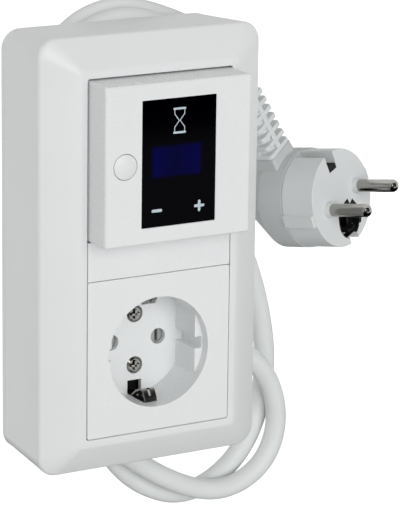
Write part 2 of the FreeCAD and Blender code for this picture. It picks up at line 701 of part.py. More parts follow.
def make_hood():
    """The one-piece cover with its bosses and window."""
    body = new_body("housing_hood_body")

    def section(name, forward, width, height, radius):
        """A rounded outline at a distance from the wall."""
        outline = sketch_on(body, name, forward)
        add_rectangle(outline, width, height, radius=radius)
        return outline

    lip_w, lip_h = window_width + 2 * lip_width, window_height + 2 * lip_width
    edge = section("hood_edge", hood_edge, box_width, box_height, corner_radius)
    loft(body, "hood_sides", [section("hood_rear", base_thick, rear_width, rear_height, corner_radius),
                              edge])
    edge_again = section("hood_edge_again", hood_edge, box_width, box_height, corner_radius)
    middle = section("hood_crown", hood_edge + bevel_depth / 2, (box_width + lip_w) / 2 + 2 * bevel_crown,
                     (box_height + lip_h) / 2 + 2 * bevel_crown, (corner_radius + lip_radius) / 2)
    lip = section("hood_lip", box_depth, lip_w, lip_h, lip_radius)
    loft(body, "hood_bevel", [edge_again, middle, lip], ruled=False)
    body_fillet(body, "hood_edge_round", edge_round, lambda e: lies_at_forward(e, hood_edge))

    inner_rear = section("hood_inner_rear", base_thick, rear_width - 2 * shell_wall,
                         rear_height - 2 * shell_wall, corner_radius - shell_wall)
    inner_edge = section("hood_inner_edge", hood_edge - shell_wall / 2, box_width - 2 * shell_wall,
                         box_height - 2 * shell_wall, corner_radius - shell_wall)
    loft(body, "hood_hollow", [inner_rear, inner_edge], kind="PartDesign::SubtractiveLoft")
    inner_edge_again = section("hood_inner_edge_again", hood_edge - shell_wall / 2,
                               box_width - 2 * shell_wall,
                               box_height - 2 * shell_wall, corner_radius - shell_wall)
    inner_lip = section("hood_inner_lip", box_depth - shell_wall, window_width + 2 * lip_step,
                        window_height + 2 * lip_step, lip_radius)
    loft(body, "hood_bevel_hollow", [inner_edge_again, inner_lip], kind="PartDesign::SubtractiveLoft")

    window = sketch_on(body, "hood_window", box_depth)
    add_rectangle(window, window_width, window_height, radius=plate_radius)
    pocket(body, "hood_window_cut", window, bevel_depth)

    bosses = sketch_on(body, "hood_bosses", base_thick)
    for x, z in CORNERS:
        add_circle(bosses, boss_radius, x * boss_x, z * boss_z)
    pad(body, "hood_bosses_pad", bosses, hood_edge + boss_top - base_thick)

    pilots = sketch_on(body, "hood_pilots", base_thick)
    for x, z in CORNERS:
        add_circle(pilots, screw_radius, x * boss_x, z * boss_z)
    pocket(body, "hood_pilots_cut", pilots, pilot_depth, forwards=True)
    return subpart(body, "housing_hood")


make_hood()


def screw(name, x, z, head_forward, length, towards_front, head=None):
    """A pan-head screw whose head ends at a distance from the wall."""
    head = head or screw_head
    if towards_front:
        cap = front_rod(f"{name}_head", head, x, (head_forward, head_forward + head_thick), z)
        shank = front_rod(f"{name}_shank", screw_radius - thread_gap, x,
                          (head_forward, head_forward + length), z)
    else:
        cap = front_rod(f"{name}_head", head, x, (head_forward - head_thick, head_forward), z)
        shank = front_rod(f"{name}_shank", screw_radius - thread_gap, x,
                          (head_forward - length, head_forward), z)
    return fuse(name, [cap, shank])


subpart(group("hood_screws_group", [
    screw(f"hood_screw_{i}", x * boss_x, z * boss_z, WALL, base_thick + pilot_depth - screw_play, True)
    for i, (x, z) in enumerate(CORNERS)]), "hood_screws")


# Support rings: steel sheet, screwed to the posts of the wall plate

def make_ring(node, middle, opening):
    """A support ring about an insert's centre; the socket's ring has legs for its base."""
    body = new_body(f"{node}_body")
    outline = sketch_on(body, f"{node}_outline", ring_forward)
    add_rectangle(outline, ring_width, ring_height, radius=ring_corner)
    pad(body, f"{node}_pad", outline, ring_thick)
    if opening == "round":
        legs = sketch_on(body, f"{node}_legs", ring_front)
        for side in (-1, 1):
            add_rectangle(legs, ring_thick, leg_width, side * (base_half_x + ring_thick / 2), 0.0)
        hole = sketch_on(body, f"{node}_hole", ring_front)
        add_circle(hole, dish_outer + 2 * fit_gap)
        pocket(body, f"{node}_hole_cut", hole, ring_thick)
        pad(body, f"{node}_legs_pad", legs, ring_front - base_back - leg_grip, backwards=True)
    else:
        hole = sketch_on(body, f"{node}_hole", ring_front)
        add_rectangle(hole, case_size, case_size, radius=plate_radius)
        pocket(body, f"{node}_hole_cut", hole, ring_thick)
    screws = sketch_on(body, f"{node}_screw_holes", ring_front)
    for side in (-1, 1):
        add_circle(screws, screw_radius + fit_gap / 2, side * ring_screw_reach)
    pocket(body, f"{node}_screw_cut", screws, ring_thick)
    put(body, z=middle)
    return subpart(body, node)


make_ring("timer_support_ring", upper, "square")
make_ring("socket_support_ring", lower, "round")
subpart(group("ring_screws_group", [
    screw(f"ring_screw_{i}", x * ring_screw_reach, middle, ring_front + head_thick,
          head_thick + ring_thick + pilot_depth - screw_play, False)
    for i, (x, middle) in enumerate((x, m) for m in (upper, lower) for x in (-1, 1))]), "ring_screws")


def make_spacer():
    """The blank bar between the inserts, with two feet on each support ring."""
    half_height = (module_pitch - plate_size) / 2 - joint_gap
    bar = slab("spacer_plate", (-plate_size / 2, plate_size / 2), (plate_back, box_depth),
               (-half_height, half_height))
    feet = []
    for side in (-1, 1):
        middle = side * foot_reach
        feet.append(slab(f"spacer_foot_{side + 1}", (middle - foot_half, middle + foot_half),
                         (ring_front, plate_back),
                         (-half_height + foot_step, half_height - foot_step)))
    return subpart(fuse("spacer_bar_solid", [bar] + feet), "spacer_bar")


make_spacer()


# Timer insert: body, face, glossy panel, button and control board

def make_timer_block():
    """The square body behind the timer's front plate, with posts for the control board."""
    half = block_size / 2
    neck = half - neck_inset
    inside = half - block_wall
    body = slab("timer_block_outer", (-half, half), (ring_front, block_front), (upper - half, upper + half))
    body = rounded("timer_block_round", body, plate_radius, lambda e: runs_along(e, Vector(0, 1, 0)))
    collar = slab("timer_block_neck", (-neck, neck), (block_front, plate_rear),
                  (upper - neck, upper + neck))
    hollow = slab("timer_block_hollow", (-inside, inside), (ring_front, plate_rear),
                  (upper - inside, upper + inside))
    shell = cut("timer_block_shell", fuse("timer_block_full", [body, collar]), [hollow])
    posts, pilots = [], []
    for i, (x, z) in enumerate(CORNERS):
        middle_x, middle_z = x * post_place, upper + z * post_place
        posts.append(slab(f"timer_post_{i}", (middle_x - post_half, middle_x + post_half),
                          (ring_front, control_back), (middle_z - post_half, middle_z + post_half)))
        pilots.append(front_rod(f"timer_pilot_{i}", screw_radius, middle_x,
                                (control_back - board_pilot, control_back), middle_z))
    return subpart(cut("timer_block_solid", fuse("timer_block_posts", [shell] + posts), pilots),
                   "timer_block")


make_timer_block()


def make_timer_plate():
    """The timer's front plate, with its recess for the panel and its button hole."""
    body = new_body("timer_plate_body")
    outline = sketch_on(body, "timer_plate_outline", plate_rear)
    add_rectangle(outline, timer_width, timer_height, radius=plate_radius)
    pad(body, "timer_plate_pad", outline, timer_plate)
    body_fillet(body, "timer_plate_round", timer_edge, lambda e: lies_at_forward(e, timer_front))
    recess = sketch_on(body, "timer_plate_recess", timer_front)
    add_rectangle(recess, panel_width + joint_gap, panel_height + joint_gap)
    pocket(body, "timer_plate_recess_cut", recess, panel_thick)
    opening = sketch_on(body, "timer_plate_opening", timer_front)
    add_rectangle(opening, panel_width - 2 * panel_ledge, panel_height - 2 * panel_ledge)
    pocket(body, "timer_plate_opening_cut", opening, timer_plate)
    hole = sketch_on(body, "timer_plate_button", timer_front)
    add_circle(hole, button_radius + button_gap, -button_x)
    pocket(body, "timer_plate_button_cut", hole, timer_plate)
    put(body, z=upper)
    return subpart(body, "timer_front_plate")


make_timer_plate()
subpart(slab("display_window_panel", (-panel_width / 2, panel_width / 2),
             (timer_front - panel_thick, timer_front),
             (upper - panel_height / 2, upper + panel_height / 2)), "display_window")

subpart(slab("display_module_solid", (display_x - display_width / 2, display_x + display_width / 2),
             (control_front, window_back - fit_gap),
             (upper + display_z - display_height / 2, upper + display_z + display_height / 2)),
             "display_module")

TOUCH_PLACES = ((size("touch_top_x", 0.0, "top touch area, sideways"),
                 size("touch_top_z", 14.3, "top touch area, upwards")),
                (size("touch_minus_x", -8.6, "minus touch area, sideways"),
                 size("touch_minus_z", -16.4, "minus touch area, upwards")),
                (size("touch_plus_x", 8.1, "plus touch area, sideways"),
                 size("touch_plus_z", -16.3, "plus touch area, upwards")))
touch_springs = []
for i, (x, z) in enumerate(TOUCH_PLACES):
    forward = (control_front, window_back)
    touch_springs.append(cut(f"touch_spring_{i}",
                             front_rod(f"touch_outer_{i}", touch_radius, x, forward, upper + z),
                             [front_rod(f"touch_inner_{i}", touch_radius - touch_wall, x, forward,
                                        upper + z)]))
subpart(group("touch_springs_group", touch_springs), "touch_springs")


def make_control_board():
    """The board that carries the display, the touch springs and the small switch."""
    half = block_size / 2 - block_wall - fit_gap
    board = slab("control_board_sheet", (-half, half), (control_back, control_front),
                 (upper - half, upper + half))
    holes = [front_rod(f"control_hole_{i}", screw_radius + fit_gap / 2, x * post_place,
                       (control_back, control_front), upper + z * post_place)
             for i, (x, z) in enumerate(CORNERS)]
    return subpart(cut("control_board_solid", board, holes), "control_board")


make_control_board()
subpart(group("board_screws_group", [
    screw(f"board_screw_{i}", x * post_place, upper + z * post_place, control_front + head_thick,
          board_thick + head_thick + board_pilot - screw_play, False, head=post_half - fit_gap)
          for i, (x, z) in enumerate(CORNERS)]), "board_screws")


def make_push_button():
    """A shallow domed button with a flange that keeps it behind the plate."""
    dome_radius = (float(button_radius) ** 2 + float(button_rise) ** 2) / (2 * float(button_rise))
    stem = front_rod("button_stem", button_radius, -button_x,
                     (button_back, timer_front + button_rise + slip_gap),
                     upper)
    ball = doc.addObject("Part::Sphere", "button_ball")
    radius, rise = button_radius.formula, button_rise.formula
    ball.setExpression("Radius", f"({radius}^2 + {rise}^2) / 2 / {rise}")
    put(ball, -button_x, -(timer_front + button_rise) + dome_radius, upper)
    ball.setExpression("Placement.Base.y", f"-{(timer_front + button_rise).formula} + Radius / 1 mm")
    dome = doc.addObject("Part::Common", "button_dome")
    dome.Base, dome.Tool = stem, ball
    flange = front_rod("button_ring", button_flange, -button_x, (button_back, flange_front), upper)
    return subpart(fuse("push_button_solid", [dome, flange]), "push_button")


make_push_button()
half_switch = switch_side / 2
plunger_low = control_front + button_travel + plunger_floor
switch_case = slab("switch_case", (-button_x - half_switch, -button_x + half_switch),
                   (control_front, switch_top),
                   (upper - half_switch, upper + half_switch))
switch_bore = front_rod("switch_bore", plunger_radius + plunger_gap, -button_x,
                        (control_front + joint_gap, switch_top),
                       upper)
subpart(cut("tact_switch_solid", switch_case, [switch_bore]), "tact_switch")
subpart(front_rod("switch_plunger_rod", plunger_radius, -button_x, (plunger_low, plunger_tip), upper),
        "switch_plunger")


# Timer insert: the power module behind the ring

def make_module_case():
    """The open box behind the ring, with pegs under the power board."""
    half = case_size / 2 - fit_gap
    inside = half - case_wall
    rim = case_size / 2 + rim_width
    box = slab("case_box", (-half, half), (case_back, ring_front), (upper - half, upper + half))
    flange = slab("case_flange", (-rim, rim), (ring_forward - case_wall, ring_forward),
                  (upper - rim, upper + rim))
    hollow = slab("case_hollow", (-inside, inside), (case_back + case_wall, ring_front),
                  (upper - inside, upper + inside))
    peg = peg_side / 2
    pegs = [slab(f"case_peg_{i}", (x * peg_place - peg, x * peg_place + peg), (case_back, power_back),
                 (upper + z * peg_place - peg, upper + z * peg_place + peg))
                 for i, (x, z) in enumerate(CORNERS)]
    shell = cut("case_shell", fuse("case_full", [box, flange]), [hollow])
    return subpart(fuse("module_case_solid", [shell] + pegs), "module_case")


make_module_case()
board_half = case_size / 2 - case_wall - 2 * fit_gap
subpart(slab("power_board_sheet", (-board_half, board_half), (power_back, power_front),
             (upper - board_half, upper + board_half)), "power_board")


def relay_space(a, b, c):
    """Relay strips are drawn upwards and forward, and are as wide as they run sideways."""
    return Vector(float(relay_x) + c, -b, float(upper) + a)


subpart(slab("relay_base_solid", (relay_x - relay_side, relay_x + relay_side), (power_front, relay_floor),
             (upper - relay_low, upper + relay_top)), "relay_base")
coil_z = upper + coil_lift
subpart(fuse("relay_coil_solid", [
    front_rod("relay_winding", coil_radius, relay_x, (relay_floor, relay_floor + coil_height), coil_z),
    front_rod("relay_core", coil_radius / 2, relay_x, (relay_floor, core_top), coil_z)]), "relay_coil")
subpart(strip("relay_yoke_strip", ((yoke_z, relay_floor), (yoke_z, yoke_top)), sheet_metal,
              -relay_half, relay_half, relay_space), "relay_yoke")
armature_middle = yoke_top + slip_gap + sheet_metal / 2
armature_line = ((yoke_z + sheet_metal / 2, armature_middle), (-armature_reach, armature_middle))
subpart(strip("relay_armature_strip", armature_line, sheet_metal, armature_side - relay_half,
              relay_half - armature_side, relay_space), "relay_armature")
contact_top = yoke_top - contact_drop
contact_line = ((-contact_low, relay_floor), (-contact_low, contact_top), (-contact_end, contact_top))
subpart(strip("relay_contact_strip", contact_line, sheet_metal, -contact_half, contact_half, relay_space),
        "relay_contact")
subpart(slab("capacitor_solid", (-capacitor_left, capacitor_width - capacitor_left),
             (power_front, power_front + capacitor_depth),
             (upper - capacitor_low, upper - capacitor_low + capacitor_height)), "film_capacitor")
subpart(front_rod("varistor_disc", varistor_radius, varistor_x, (power_front, power_front + varistor_thick),
                  upper + varistor_z), "varistor")
HEADER_PINS = 4
header_half = header_pitch * HEADER_PINS / 2
header_body = slab("header_body", (-header_half, header_half), (power_front, power_front + header_thick),
                   (upper - header_z - header_thick / 2, upper - header_z + header_thick / 2))
header_pins = [front_rod(f"header_pin_{i}", header_pin, header_pitch * (i + 0.5) - header_half,
                         (power_front, control_back), upper - header_z) for i in range(HEADER_PINS)]
subpart(fuse("board_header_solid", [header_body] + header_pins), "board_header")

TERMINALS = (-terminal_pitch, 0.0, terminal_pitch)
terminal_case = slab("terminal_case", (-terminal_half, terminal_half), (terminal_back, case_back),
                     (upper - terminal_low, upper - terminal_top))
terminal_middle = (terminal_back + case_back) / 2
terminal_bores = [rod(f"terminal_bore_{i}", terminal_screw + joint_gap, terminal_depth,
                      (x, -terminal_middle, upper - terminal_low)) for i, x in enumerate(TERMINALS)]
subpart(cut("terminal_block_solid", terminal_case, terminal_bores), "terminal_block")
subpart(group("terminal_screws_group", [
    rod(f"terminal_screw_{i}", terminal_screw, terminal_depth - joint_gap,
        (x, -terminal_middle, upper - terminal_low + joint_gap)) for i, x in enumerate(TERMINALS)]),
    "terminal_screws")


# Socket insert

def make_socket_cover():
    """The socket's plate and dish in one piece."""
    body = new_body("socket_cover_body")
    outline = sketch_on(body, "socket_outline", plate_back)
    add_rectangle(outline, plate_size, plate_size, radius=plate_radius)
    pad(body, "socket_pad", outline, plate_thick)
    barrel = sketch_on(body, "socket_barrel", dish_back)
    add_circle(barrel, dish_outer)
    pad(body, "socket_barrel_pad", barrel, plate_back - dish_back)
    mouth = sketch_on(body, "socket_mouth", box_depth)
    add_circle(mouth, dish_radius)
    pocket(body, "socket_mouth_cut", mouth, dish_step)
    add_flat_dish(body)
    keys = sketch_on(body, "socket_keys", box_depth)
    add_rectangle(keys, 2 * key_reach, key_height)
    pocket(body, "socket_keys_cut", keys, dish_depth)
    pins = sketch_on(body, "socket_pins", dish_bottom)
    for side in (-1, 1):
        add_circle(pins, pin_hole_radius, side * pin_spacing / 2)
    pocket(body, "socket_pins_cut", pins, dish_floor)
    sinks = sketch_on(body, "socket_sinks", dish_bottom)
    holes = sketch_on(body, "socket_screw_holes", dish_bottom)
    for side in (-1, 1):
        add_circle(sinks, cover_head + joint_gap, 0.0, side * cover_screw_z)
        add_circle(holes, screw_radius + joint_gap, 0.0, side * cover_screw_z)
    pocket(body, "socket_sinks_cut", sinks, sink_depth)
    pocket(body, "socket_screw_cut", holes, dish_floor)
    slots = sketch_on(body, "socket_earth_slots", earth_front)
    reach = dish_outer + fit_gap - earth_start
    for side in (-1, 1):
        add_rectangle(slots, earth_slot, reach, 0.0, side * (earth_start + reach / 2))
    pocket(body, "socket_earth_cut", slots, earth_front - dish_back)
    put(body, z=lower)
    return subpart(body, "socket_cover")


def add_flat_dish(body):
    """The dish below its step: a circle cut off by a flat on each side."""
    sketch = sketch_on(body, "socket_dish", box_depth)
    radius, flat = float(dish_radius), float(dish_flat)
    rise = math.sqrt(radius ** 2 - flat ** 2)
    angle = math.atan2(rise, flat)
    circle = Part.Circle(Vector(), Vector(0, 0, 1), radius)
    top = sketch.addGeometry(Part.ArcOfCircle(circle, angle, math.pi - angle))
    left = sketch.addGeometry(Part.LineSegment(Vector(-flat, rise), Vector(-flat, -rise)))
    bottom = sketch.addGeometry(Part.ArcOfCircle(circle, math.pi + angle, 2 * math.pi - angle))
    right = sketch.addGeometry(Part.LineSegment(Vector(flat, -rise), Vector(flat, rise)))
    constrain(sketch, "Coincident", top, 2, left, 1)
    constrain(sketch, "Coincident", left, 2, bottom, 1)
    constrain(sketch, "Coincident", bottom, 2, right, 1)
    constrain(sketch, "Coincident", right, 2, top, 1)
    for arc in (top, bottom):
        constrain(sketch, "Coincident", arc, 3, -1, 1)
        constrain(sketch, "Radius", arc, value=dish_radius)
    constrain(sketch, "Vertical", left)
    constrain(sketch, "Vertical", right)
    constrain(sketch, "DistanceX", -1, 1, right, 1, value=dish_flat)
    constrain(sketch, "DistanceX", left, 1, -1, 1, value=dish_flat)
    pocket(body, "socket_dish_cut", sketch, dish_depth)


make_socket_cover()
subpart(group("cover_screws_group", [
    screw(f"cover_screw_{i}", 0.0, lower + side * cover_screw_z, dish_bottom - sink_depth + head_thick,
          dish_floor + cover_pilot - screw_play - sink_depth + head_thick, False, head=cover_head)
    for i, side in enumerate((-1, 1))]), "cover_screws")


def make_socket_base():
    """The block behind the dish that holds the contacts and the shutter's pivot."""
    body = slab("base_block", (-base_half_x, base_half_x), (base_back, base_front),
                (lower - base_half_z, lower + base_half_z))
    body = rounded("base_block_round", body, corner_radius / 2, lambda e: runs_along(e, Vector(0, 1, 0)))
    adds = [front_rod("shutter_pivot", hub_radius, 0.0, (base_front, dish_back - joint_gap), lower)]
    recess = (base_front - spring_height - slip_gap, base_front)
    tools = [cut("spring_recess", front_rod("spring_recess_outer", spring_radius + joint_gap, 0.0, recess,
                                            lower),
                 [front_rod("spring_recess_inner", hub_radius, 0.0, recess, lower)])]
    for side in (-1, 1):
        name = side + 1
        tools.append(front_rod(f"sleeve_bore_{name}", sleeve_radius + joint_gap, side * pin_spacing / 2,
                               (sleeve_back, base_front), lower))
        adds.append(front_rod(f"screw_column_{name}", cover_head - joint_gap, 0.0, (base_front, dish_back),
                              lower + side * cover_screw_z))
        tools.append(front_rod(f"cover_pilot_{name}", screw_radius, 0.0,
                               (dish_back - cover_pilot, dish_back),
                               lower + side * cover_screw_z))
    return subpart(cut("socket_base_solid", fuse("socket_base_full", [body] + adds), tools), "socket_base")


make_socket_base()
for side, node in ((-1, "neutral_contact"), (1, "line_contact")):
    place = side * pin_spacing / 2
    front = base_front - joint_gap
    outer = front_rod(f"{node}_outer", sleeve_radius, place, (sleeve_back, front), lower)
    bore = front_rod(f"{node}_bore", sleeve_bore, place, (sleeve_back + sleeve_floor, front), lower)
    mouth = slab(f"{node}_slit", (place - sleeve_slit / 2, place + sleeve_slit / 2),
                 (sleeve_back + 2 * sleeve_floor, front), (lower - sleeve_radius, lower + sleeve_radius))
    subpart(cut(f"{node}_solid", outer, [bore, mouth]), node)
subpart(cut("shutter_spring_solid",
            front_rod("shutter_spring_outer", spring_radius, 0.0, (base_front - spring_height, base_front),
                      lower),
            [front_rod("shutter_spring_inner", hub_radius + screw_play, 0.0,
                       (base_front - spring_height, base_front), lower)]), "shutter_spring")


def make_shutter():
    """A bar with a hub; a plug's pins push its arms aside together."""
    back = base_front + fit_gap
    depth = (back, back + shutter_thick)
    bar = slab("shutter_bar", (-shutter_reach, shutter_reach), depth,
               (lower - shutter_half, lower + shutter_half))
    hub = front_rod("shutter_hub", hub_radius + hub_wall, 0.0, depth, lower)
    slits = [front_rod("shutter_bore", hub_radius + thread_gap, 0.0, depth, lower)]
    for side in (-1, 1):
        middle = side * (pin_spacing / 2 + slit_offset)
        slits.append(slab(f"shutter_slit_{side + 1}",
                          (middle - shutter_slit / 2, middle + shutter_slit / 2), depth,
                          (lower - shutter_half + slit_margin, lower + shutter_half - slit_margin)))
    return subpart(cut("socket_shutter_solid", fuse("shutter_full", [bar, hub]), slits), "socket_shutter")


make_shutter()


def socket_space(a, b, c):
    """The earth bracket is drawn upwards and forward, and is as wide as it runs sideways."""
    return Vector(c, -b, float(lower) + a)


leg_z = base_half_z + fit_gap + sheet_metal / 2
strap_forward = base_back - joint_gap - sheet_metal / 2
half_bracket = ((dish_radius - 0.6, earth_front - 2.8), (dish_radius - 1.8, earth_front - 6.5),
                (leg_z, dish_back + 1.5), (leg_z, strap_forward))
bracket = [(-a, b) for a, b in half_bracket] + [(a, b) for a, b in half_bracket[::-1]]
subpart(strip("earth_bracket_strip", bracket, sheet_metal, -earth_width / 2, earth_width / 2, socket_space),
        "earth_bracket")


# Cord gland pieces: clamp, bend guard and the held end of the lead

clamp_span = (clamp_middle - clamp_half, clamp_middle + clamp_half)
clamp_bar = slab("clamp_bar", (gland_x - gland_half + fit_gap, gland_x + gland_half - fit_gap),
                 (base_thick, clamp_front), clamp_span)
clamp_saddle = slab("clamp_saddle", (gland_x - cord_radius, gland_x + cord_radius),
                    (cord_radius - gland_axis + slip_gap, base_thick), clamp_span)
clamp_holes = [front_rod(f"clamp_hole_{side + 1}", screw_radius + joint_gap, gland_x + side * clamp_screw_x,
                         (base_thick, clamp_front), clamp_middle) for side in (-1, 1)]
subpart(cut("cord_clamp_solid", fuse("clamp_full", [clamp_bar, clamp_saddle]), clamp_holes), "cord_clamp")
subpart(group("clamp_screws_group", [
    screw(f"clamp_screw_{side + 1}", gland_x + side * clamp_screw_x, clamp_middle, clamp_front + head_thick,
          head_thick + clamp_thick + clamp_pilot_depth - screw_play, False) for side in (-1, 1)]),
          "clamp_screws")

guard_parts = [
    cone("guard_taper", (guard_root, guard_tip), guard_length, (gland_x, gland_axis, gland_low), "down"),
    rod("guard_neck", guard_root, gland_wall, (gland_x, gland_axis, gland_low)),
    rod("guard_collar", collar_radius, collar_thick - slip_gap,
        (gland_x, gland_axis, gland_low + gland_wall))]
guard_bore = rod("guard_bore", cord_radius + thread_gap, guard_length + gland_wall + collar_thick,
                 (gland_x, gland_axis, guard_tip_z))
subpart(cut("bend_guard_solid", fuse("bend_guard_full", guard_parts), [guard_bore]), "bend_guard")
subpart(rod("lead_entry_rod", cord_radius, entry_top - guard_tip_z, (gland_x, gland_axis, guard_tip_z)),
        "lead_entry")


# Plug: drawn in its own frame. Its face lies in XY with the pins along +Z, the
# pins stand apart along X, and the earth notches lie along Y. The back leans a
# little, so its neck and strain relief leave beside +Y.

plug_face = (size("plug_face_x", 91.7, "plug face, to the right"),
             size("plug_face_y", -13.4, "plug face, to the rear"),
             size("plug_face_z", 4.8, "plug face, upwards"))
PIN_HEADING = Vector(0.3569, -0.9222, 0.1482)
NOTCH_HEADING = Vector(-0.3476, 0.0110, 0.9351)
EXIT_LEAN = 9.0
plug_turn = Rotation(Vector(), NOTCH_HEADING, PIN_HEADING, "ZYX")
back_turn = plug_turn.multiply(Rotation(Vector(0, 0, 1), EXIT_LEAN))
back_place = Placement(Vector(*[float(v) for v in plug_face]), back_turn)


def on_plug(item, node, turn=plug_turn):
    """Place a finished piece of the plug."""
    put(item, *plug_face, turn=turn)
    return subpart(item, node)


def make_plug_front():
    """The plug's face, with its rim, ridges, notches, pin collars and earth opening."""
    disc = rod("plug_disc", plug_radius, plug_front, (0, 0, -plug_front))
    reach = plug_radius + ridge_rise
    ridge = block("plug_ridges", (-reach, reach), (-ridge_width / 2, ridge_width / 2),
                  (-plug_front, -ridge_stop))
    face = rounded("plug_disc_round", fuse("plug_disc_ridges", [disc, ridge]), plug_round,
                   lambda e: lies_at_height(e, 0))
    adds, tools = [face], core_parts("plug_room", WALL)
    for side in (-1, 1):
        span = (notch_floor, reach) if side > 0 else (-reach, -notch_floor)
        tools.append(block(f"plug_notch_{side + 1}", (-notch_width / 2, notch_width / 2), span,
                           (-plug_front, WALL)))
        place = side * pin_spacing / 2
        adds.append(rod(f"plug_pin_collar_{side + 1}", pin_collar, collar_height, (place, 0, 0)))
        tools.append(rod(f"plug_pin_bore_{side + 1}", pin_radius - neck_step + thread_gap,
                         pin_root + collar_height,
                         (place, 0, -pin_root)))
        tools.append(rod(f"plug_earth_peak_{side + 1}", earth_peak, earth_set_back,
                         (side * peak_x, earth_mouth - earth_hole_y, -earth_set_back)))
    tools.append(rod("plug_earth_mouth", earth_mouth, earth_set_back, (0, -earth_hole_y, -earth_set_back)))
    return on_plug(cut("plug_front_solid", fuse("plug_front_full", adds), tools), "plug_front")


def core_parts(name, gap):
    """The shape of the dark core, or of the room for it, which is larger by the gap."""
    back = -plug_front
    half = core_half - gap
    bar = block(f"{name}_bar", (-half, half), (-notch_floor, notch_floor), (back, -core_set_back - gap))
    ends = [block(f"{name}_end_{side + 1}", (-half, half),
                  (notch_floor - core_tip, notch_floor) if side > 0 else (-notch_floor,
                                                                          core_tip - notch_floor),
                  (back, WALL - gap)) for side in (-1, 1)]
    disc = rod(f"{name}_disc", earth_mouth - gap, plug_front - earth_set_back, (0, -earth_hole_y, back))
    trim = block(f"{name}_trim", (-earth_mouth, earth_mouth), (-plug_radius, -notch_floor), (back, WALL))
    return [bar, cut(f"{name}_round", disc, [trim])] + ends


make_plug_front()
on_plug(cut("plug_core_solid", fuse("plug_core_full", core_parts("plug_core", slip_gap)),
            [rod("plug_core_bore", earth_hole_radius, earth_hole_depth,
                 (0, -earth_hole_y, -earth_hole_depth))]),
        "plug_core")


def make_plug_back():
    """The moulded back: a short barrel, a straight taper and the square neck of the lead."""
    body = new_body("plug_back_body")
    barrel = plug_radius + seam_lip
    rings = ((plug_front + seam_gap, barrel, WALL), (plug_waist, barrel, WALL),
             (plug_depth, plug_tail, tail_lift))
    sketches = []
    for i, (depth, radius, lift) in enumerate(rings):
        sketch = sketch_on(body, f"plug_back_ring_{i}", -depth, role="XY_Plane")
        add_circle(sketch, radius, 0.0, lift)
        sketches.append(sketch)
    loft(body, "plug_back_loft", sketches)
    seam = sketch_on(body, "plug_back_seam", -plug_front, role="XY_Plane")
    add_circle(seam, plug_radius - seam_depth)
    pad(body, "plug_back_seam_pad", seam, seam_gap + seam_bond, backwards=True)
    neck = []
    for i, (reach, half) in enumerate(((neck_start, neck_root), (relief_start, relief_root))):
        sketch = sketch_on(body, f"plug_neck_{i}", -reach)
        add_rectangle(sketch, 2 * half, 2 * half, 0.0, -exit_depth, radius=neck_edge)
        neck.append(sketch)
    loft(body, "plug_neck_loft", neck)
    body_fillet(body, "plug_back_round", tail_round, lambda e: lies_at_height(e, -plug_depth))
    return on_plug(body, "plug_back", back_turn)


make_plug_back()


def make_plug_relief():
    """The strain relief: ribs on a core, joined by a narrow spine front and back."""
    length = relief_end - relief_start
    parts = [cone("relief_core_cone", (relief_core + core_taper, relief_core), length,
                  (0, relief_start, -exit_depth), "y")]
    count = int((float(length) - float(rib_thick)) / float(rib_pitch)) + 1
    for i in range(count):
        half = relief_root + (relief_tip - relief_root) * (i / max(count - 1, 1))
        place = relief_start + i * rib_pitch
        plate = block(f"relief_rib_{i}", (-half, half), (place, place + rib_thick),
                      (-exit_depth - half, -exit_depth + half))
        parts.append(rounded(f"relief_rib_round_{i}", plate, rib_round,
                             lambda e: runs_along(e, Vector(0, 1, 0))))
        if i + 1 < count:
            reach = half - spine_drop
            parts.append(block(f"relief_spine_{i}", (-spine_half, spine_half),
                               (place + rib_thick, place + rib_pitch),
                               (-exit_depth - reach, -exit_depth + reach)))
    bore = rod("relief_bore", cord_radius + thread_gap, length, (0, relief_start, -exit_depth), "y")
    return on_plug(cut("plug_relief_solid", fuse("relief_full", parts), [bore]), "plug_strain_relief",
                   back_turn)


make_plug_relief()
held_end = on_plug(rod("lead_end_rod", cord_radius, relief_end - relief_start, (0, 0, 0), "y"), "lead_end",
                   back_turn)
for axis in "xyz":
    held_end.setExpression(f"Placement.Base.{axis}", None)
held_end.Placement = back_place.multiply(
    Placement(Vector(0, float(relief_start), -float(exit_depth)), TURNS["y"]))

pins = []
for side in (-1, 1):
    place = side * pin_spacing / 2
    wall_start = collar_height + joint_gap
    shank = rod(f"plug_pin_{side + 1}", pin_radius, pin_length - wall_start, (place, 0, wall_start))
    neck = rod(f"plug_pin_neck_{side + 1}", pin_radius - neck_step, pin_root + wall_start,
               (place, 0, -pin_root))
    pins.append(fuse(f"plug_pin_full_{side + 1}", [neck, rounded(
        f"plug_pin_round_{side + 1}", shank, pin_point, lambda e: lies_at_height(e, pin_length))]))
on_plug(group("plug_pins_group", pins), "plug_pins")

clips = []
clip_half = notch_width / 2 - clip_margin
for side in (-1, 1):
    span = (notch_floor, notch_floor + sheet_metal) if side > 0 else (-notch_floor - sheet_metal,
                                                                      -notch_floor)
    clips.append(block(f"plug_clip_{side + 1}", (-clip_half, clip_half), span,
                       (-plug_front, -clip_set_back)))
on_plug(group("plug_earth_clips_group", clips), "plug_earth_clips")
sleeve_depth = earth_hole_depth - sleeve_set_back
on_plug(cut("plug_earth_sleeve_solid",
            rod("earth_sleeve_outer", earth_hole_radius - slip_gap, sleeve_depth,
                (0, -earth_hole_y, -earth_hole_depth)),
            [rod("earth_sleeve_inner", sleeve_bore, sleeve_depth - sheet_metal,
                 (0, -earth_hole_y, sheet_metal - earth_hole_depth))]), "plug_earth_sleeve")


# Lead: its free length, from the bend guard round the back and out to the plug.
# The route is chosen by hand: X to the right, Y behind the wall plane, Z up.

